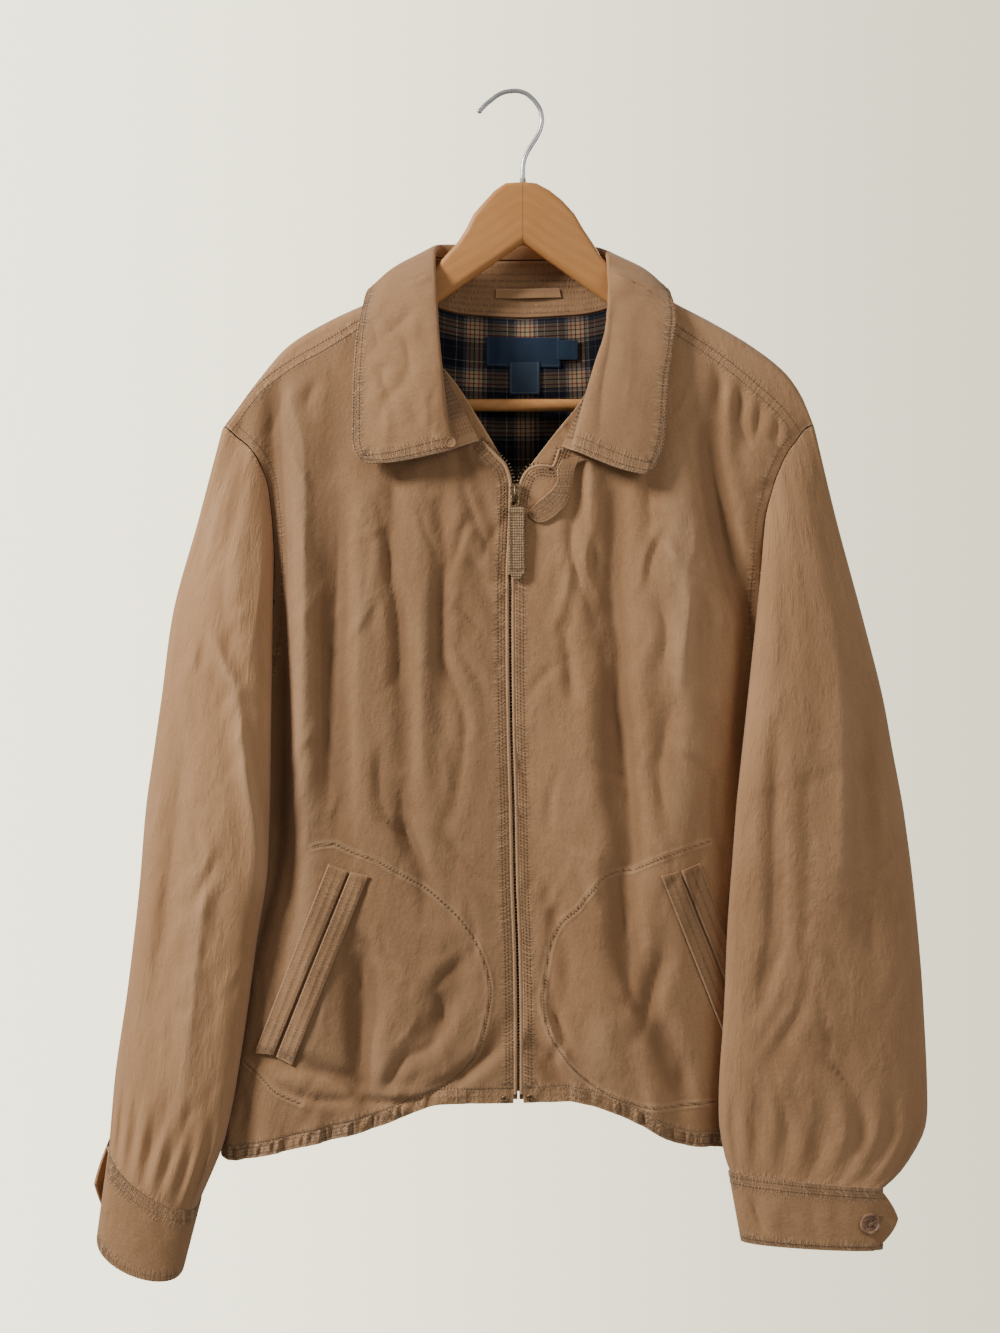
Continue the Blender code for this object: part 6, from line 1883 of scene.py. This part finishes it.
# ---------------------------------------------------------------- what shows in the neck

def label(left, right, top, foot, out, slope, u, v):
    x = left + (right - left) * u
    return on_lining(x, top + (foot - top) * v + slope * (x - left), out)


def make_neck_pieces():
    cloth("cloth_lining", lining, 70, 54, LINING, "lining")
    for name, edges, wall in (("label_main", (-24, 37, -196, -220, GAP, -0.02), 0.7),
                              ("label_size", (34, 51, -199, -215, GAP + 1.0, 0.0), 0.6),
                              ("label_care", (-5, 20, -217, -243, GAP + 1.0, 0.0), 0.6)):
        face = partial(label, *edges)
        cloth(f"cloth_{name}", face, 30, 14, wall, name)
        if name == "label_main":
            around = [on_surface(face, np.linspace(0.03, 0.97, 40), v, -0.1) for v in (0.07, 0.93)]
            around += [on_surface(face, u, np.linspace(0.07, 0.93, 20), -0.1) for u in (0.03, 0.97)]
            stitches("label_stitching", around, pitch=2.4, length=1.8, thick=0.16)
    cloth("cloth_locker_loop", loop_on_stand, 60, 10, 1.2, "edge", outwards=True)
    for side in SIDES:
        cloth(f"cloth_facing_{side}", partial(facing, side), 12, 70, 1.0, outwards=side == "left")


# ---------------------------------------------------------------- pockets, strap and buttons

def bound_welt(side, corners, u, v):
    """A welt with its two long edges rolled in."""
    points = welt(side, corners, u, v)
    bound = np.clip(1 - np.abs(2 * u - 1), 0, 1)
    points[..., 1] += 0.5 * np.exp(-(bound / 0.12) ** 2)
    return points


def make_pockets():
    v = np.linspace(0.012, 0.988, 90)
    for side in SIDES:
        rows = []
        for place, corners in WELTS.items():
            face = partial(bound_welt, side, corners)
            out = -0.15 * SIGN[side]
            lines = [on_surface(face, share, v, out) for share in (0.10, 0.5, 0.86)]
            lines += [on_surface(face, np.linspace(0.1, 0.86, 12), end, out) for end in (0.03, 0.97)]
            rows += lines
            cloth(f"cloth_pocket_{place}_welt_{side}", face, 12, 84, WELT_WALL, "welt",
                  outwards=side == "right", seams=lines)
        stitches(f"topstitching_pocket_{side}", rows)


def shank_button(name, place, radius, thick, away, finish, node, sewn_through=True):
    """A turned button: a dished top inside a rounded rim, with four holes if it is sewn through."""
    thing = made(ADD.primitive_cylinder_add, vertices=40, radius=radius, depth=thick)
    bpy.ops.object.mode_set(mode="EDIT")
    bpy.ops.mesh.select_all(action="DESELECT")
    bpy.ops.object.mode_set(mode="OBJECT")
    for face in thing.data.polygons:
        face.select = face.normal.z > 0.9
    bpy.ops.object.mode_set(mode="EDIT")
    for thickness, depth in ((radius * 0.08, 0.0), (radius * 0.14, 0.0), (radius * 0.07, -thick * 0.28),
                             (radius * 0.25, -thick * 0.06), (radius * 0.2, 0.0)):
        bpy.ops.mesh.inset(thickness=thickness, depth=depth)
    bpy.ops.object.mode_set(mode="OBJECT")
    rounded(thing, thick * 0.22, 3, 50)
    turns = np.radians([45, 135, 225, 315] if sewn_through else [])
    spots = [radius * 0.3 * np.array([math.cos(turn), math.sin(turn), 0]) for turn in turns]
    cutters = []
    for spot in spots:
        cutters.append(made(ADD.primitive_cylinder_add, vertices=12, radius=radius * 0.12, depth=thick * 4,
                            location=spot))
    for cutter in cutters:
        apply(thing, "BOOLEAN", object=cutter, operation="DIFFERENCE", solver="EXACT")
        bpy.data.objects.remove(cutter, do_unlink=True)
    if finish == "edge":
        for name_of in ("seam_off", "quiet_off", "edge_off"):
            mark(thing.data, name_of, np.full(len(thing.data.vertices), FAR))
    turn = np.array(Vector(away).to_track_quat("Z", "Y").to_matrix())
    set_points(thing, (coordinates(thing.data) + (0, 0, thick / 2)) @ turn.T + place)
    smooth(thing, 40)
    at_rest(thing, name, finish, replaces=(node,))
    ends = [turn @ (spot + (0, 0, thick * 0.80)) + place for spot in spots]
    for k, (start, end) in enumerate(zip(ends[:2], ends[2:])):
        bent_wire(f"{name}_thread_{k + 1}", [start, (start + end) / 2 + turn[:, 2] * 0.15, end], 0.35,
                  "pale_thread")


def place_on_cuff(side, angle, down):
    angle = np.float64(math.radians(angle))
    place = cuff_ring(side, angle, down, CUFF_LAP + BUTTON_ROOM)
    along = cuff_ring(side, angle + 0.2, down) - cuff_ring(side, angle - 0.2, down)
    downwards = cuff_ring(side, angle, down + 0.2) - cuff_ring(side, angle, down - 0.2)
    away = np.cross(along, downwards)
    return place, away * np.sign(np.dot(away, place - np.array(CUFF[side][0], float)))


def eyelet(side, x, z):
    y = float(front_points(x, z)[1]) - 0.75
    thing = made(ADD.primitive_torus_add, major_radius=1.9, minor_radius=0.75,
                 major_segments=28, minor_segments=10)
    set_points(thing, coordinates(thing.data)[:, (0, 2, 1)] * (1.0, 0.6, 1.0) + (x, y, z))
    in_edit(thing, OUTWARDS)
    smooth(thing, 80)
    at_rest(thing, f"eyelet_ring_{side}", "zip_metal", replaces=(f"eyelet_{side}",))


def make_fastenings():
    v = np.linspace(0.06, 0.97, 60)
    rows = [on_surface(strap, share, v, 0.15) for share in (0.12, 0.32, 0.5, 0.68, 0.88)]
    cloth("cloth_throat_strap", strap, 16, 90, 1.6, "welt", outwards=True, seams=rows)
    stitches("topstitching_strap", rows, pitch=2.6, length=1.9, thick=0.24)
    shank_button("covered_button", (-51.0, -49.8, -290.0), 4.2, 1.6, (0, -1, 0), "edge",
                 "collar_button", sewn_through=False)
    for side, angle, down in (("left", 43.0, 0.56), ("right", -57.0, 0.77)):
        place, away = place_on_cuff(side, angle, down)
        shank_button(f"horn_button_{side}", place, 8.5, 2.4, away, "button", f"cuff_button_{side}")
    buttonhole = []
    for down in (0.46, 0.49, 0.52):
        line = [place_on_cuff("left", angle, down) for angle in np.linspace(18, 34, 12)]
        buttonhole.append([place - unit(away) * (BUTTON_ROOM - 0.15) for place, away in line])
    stitches("buttonhole_left", buttonhole, pitch=1.5, length=1.5, thick=0.45)
    eyelet("right", -9, -805.5)
    eyelet("left", 11, -804.5)


# ---------------------------------------------------------------- hanger

def make_hanger():
    outline = hanger_outline()
    thing = made(ADD.primitive_circle_add, vertices=len(outline), radius=1.0, fill_type="NGON")
    set_points(thing, [(x, -HANGER_THICK / 2, z) for x, z in outline])
    thicken = {"TRANSFORM_OT_translate": {"value": (0, HANGER_THICK * MM, 0)}}
    in_edit(thing, (bpy.ops.mesh.extrude_region_move, thicken),
            (bpy.ops.mesh.select_all, {"action": "SELECT"}), OUTWARDS)
    rounded(thing, HANGER_BEVEL * MM, 5)
    smooth(thing, 35)
    at_rest(thing, "wooden_hanger", "wood", replaces=("hanger_body",))
    low, high = 2 * CENTRE - BAR_END, BAR_END
    thing = made(ADD.primitive_cylinder_add, vertices=36, radius=BAR_RADIUS, depth=high - low)
    set_points(thing, coordinates(thing.data)[:, (2, 1, 0)] + ((low + high) / 2, 0, BAR_Z))
    in_edit(thing, OUTWARDS)
    rounded(thing, 0.6 * MM)
    smooth(thing, 35)
    at_rest(thing, "trouser_bar", "wood", replaces=("hanger_bar",))
    bent_wire("wire_hook", [(x, 0, z) for x, z in HOOK], 1.85, "steel", nodes=("hanger_hook",))
    thing = made(ADD.primitive_uv_sphere_add, segments=20, ring_count=12, radius=2.1)
    set_points(thing, coordinates(thing.data) + (HOOK[0][0], 0, HOOK[0][1]))
    smooth(thing, 80)
    at_rest(thing, "hook_ball", "steel")
    thing = made(ADD.primitive_cylinder_add, vertices=28, radius=2.5, depth=4.2)
    set_points(thing, coordinates(thing.data) + (CENTRE, 0, -71.6))
    rounded(thing, 0.6 * MM)
    smooth(thing, 35)
    at_rest(thing, "hook_ferrule", "ferrule")


# ---------------------------------------------------------------- camera, light and floor

PALE = (1.0, 0.935, 0.69)   # floor and surroundings
BRIGHT, DIM = 3.3, 1.5      # their light at the left and at the right of the front view
LIGHTS = (
    # name, place, size, power
    ("key", (-2.25, -1.05, 1.05), 0.6, 116.0),
    ("fill", (1.9, -1.7, 0.2), 1.6, 18.0),
    ("back", (0.6, 2.0, 0.9), 1.8, 26.0),
)
LIT_MIDDLE = (0.0, 0.0, -0.45)
FLOOR_Z = -1.02
LENS, FRAME_SIZE = 48.3, 36.0
CAMERA_PLACE = (-0.0125, -1.45, -0.4653)


def self_lit(name):
    """A pale glowing finish with its light painted on: brighter at the left of the front view and dimmer
    towards the right.
    """
    s = Shader(name)
    x, y = s.parts(s.place("Object"))[:2]
    bright, dim = (s.add("ShaderNodeEmission", {}, {"Color": (*PALE, 1.0), "Strength": power})
                   for power in (BRIGHT, DIM))
    across = (x / (y.size() + 1.45)).above(-0.36, 0.36)
    blend = s.add("ShaderNodeMixShader", {}, {0: across, 1: bright, 2: dim})
    s.tree.links.new(blend.socket, s.tree.nodes["Material Output"].inputs["Surface"])
    return s.material


def pale_stage(thing, name):
    """Shown to the camera only, so that it neither lights nor shades the jacket."""
    thing.name = name
    thing.data.materials.append(self_lit(f"Pale {name}"))
    thing.visible_diffuse = False
    thing.visible_glossy = False
    thing.visible_shadow = False


def make_stage():
    pale_stage(made(ADD.primitive_plane_add, size=60.0, location=(0, 0, FLOOR_Z)), "floor")
    pale_stage(made(ADD.primitive_uv_sphere_add, segments=48, ring_count=24, radius=25.0), "surroundings")
    world = bpy.data.worlds.new("studio")
    bpy.context.scene.world = world
    world.use_nodes = True
    sky = world.node_tree.nodes["Background"].inputs
    sky["Color"].default_value = (0.74, 0.735, 0.72, 1.0)
    sky["Strength"].default_value = 0.30
    for name, place, size, power in LIGHTS:
        light = bpy.data.lights.new(name, "AREA")
        light.size = size
        light.energy = power
        lamp = bpy.data.objects.new(name, light)
        lamp.location = place
        lamp.rotation_euler = (Vector(LIT_MIDDLE) - Vector(place)).to_track_quat("-Z", "Y").to_euler()
        bpy.context.scene.collection.objects.link(lamp)
    lens = bpy.data.cameras.new("camera")
    lens.sensor_fit = "VERTICAL"
    lens.sensor_height = lens.sensor_width = FRAME_SIZE
    lens.lens = LENS
    camera = bpy.data.objects.new("camera", lens)
    camera.location = CAMERA_PLACE
    camera.rotation_euler = (math.pi / 2, 0, 0)
    bpy.context.scene.collection.objects.link(camera)
    bpy.context.scene.camera = camera


def main():
    make_stage()
    make_fronts()
    make_back()
    make_hem_casings()
    make_sleeves()
    make_collar()
    make_zip()
    make_zip_folds()
    make_neck_pieces()
    make_pockets()
    make_fastenings()
    make_hanger()
    for name, width, length, area in SHEETS:
        print(f"sheet {name}: {width} x {length} mm, {area} mm2")


main()
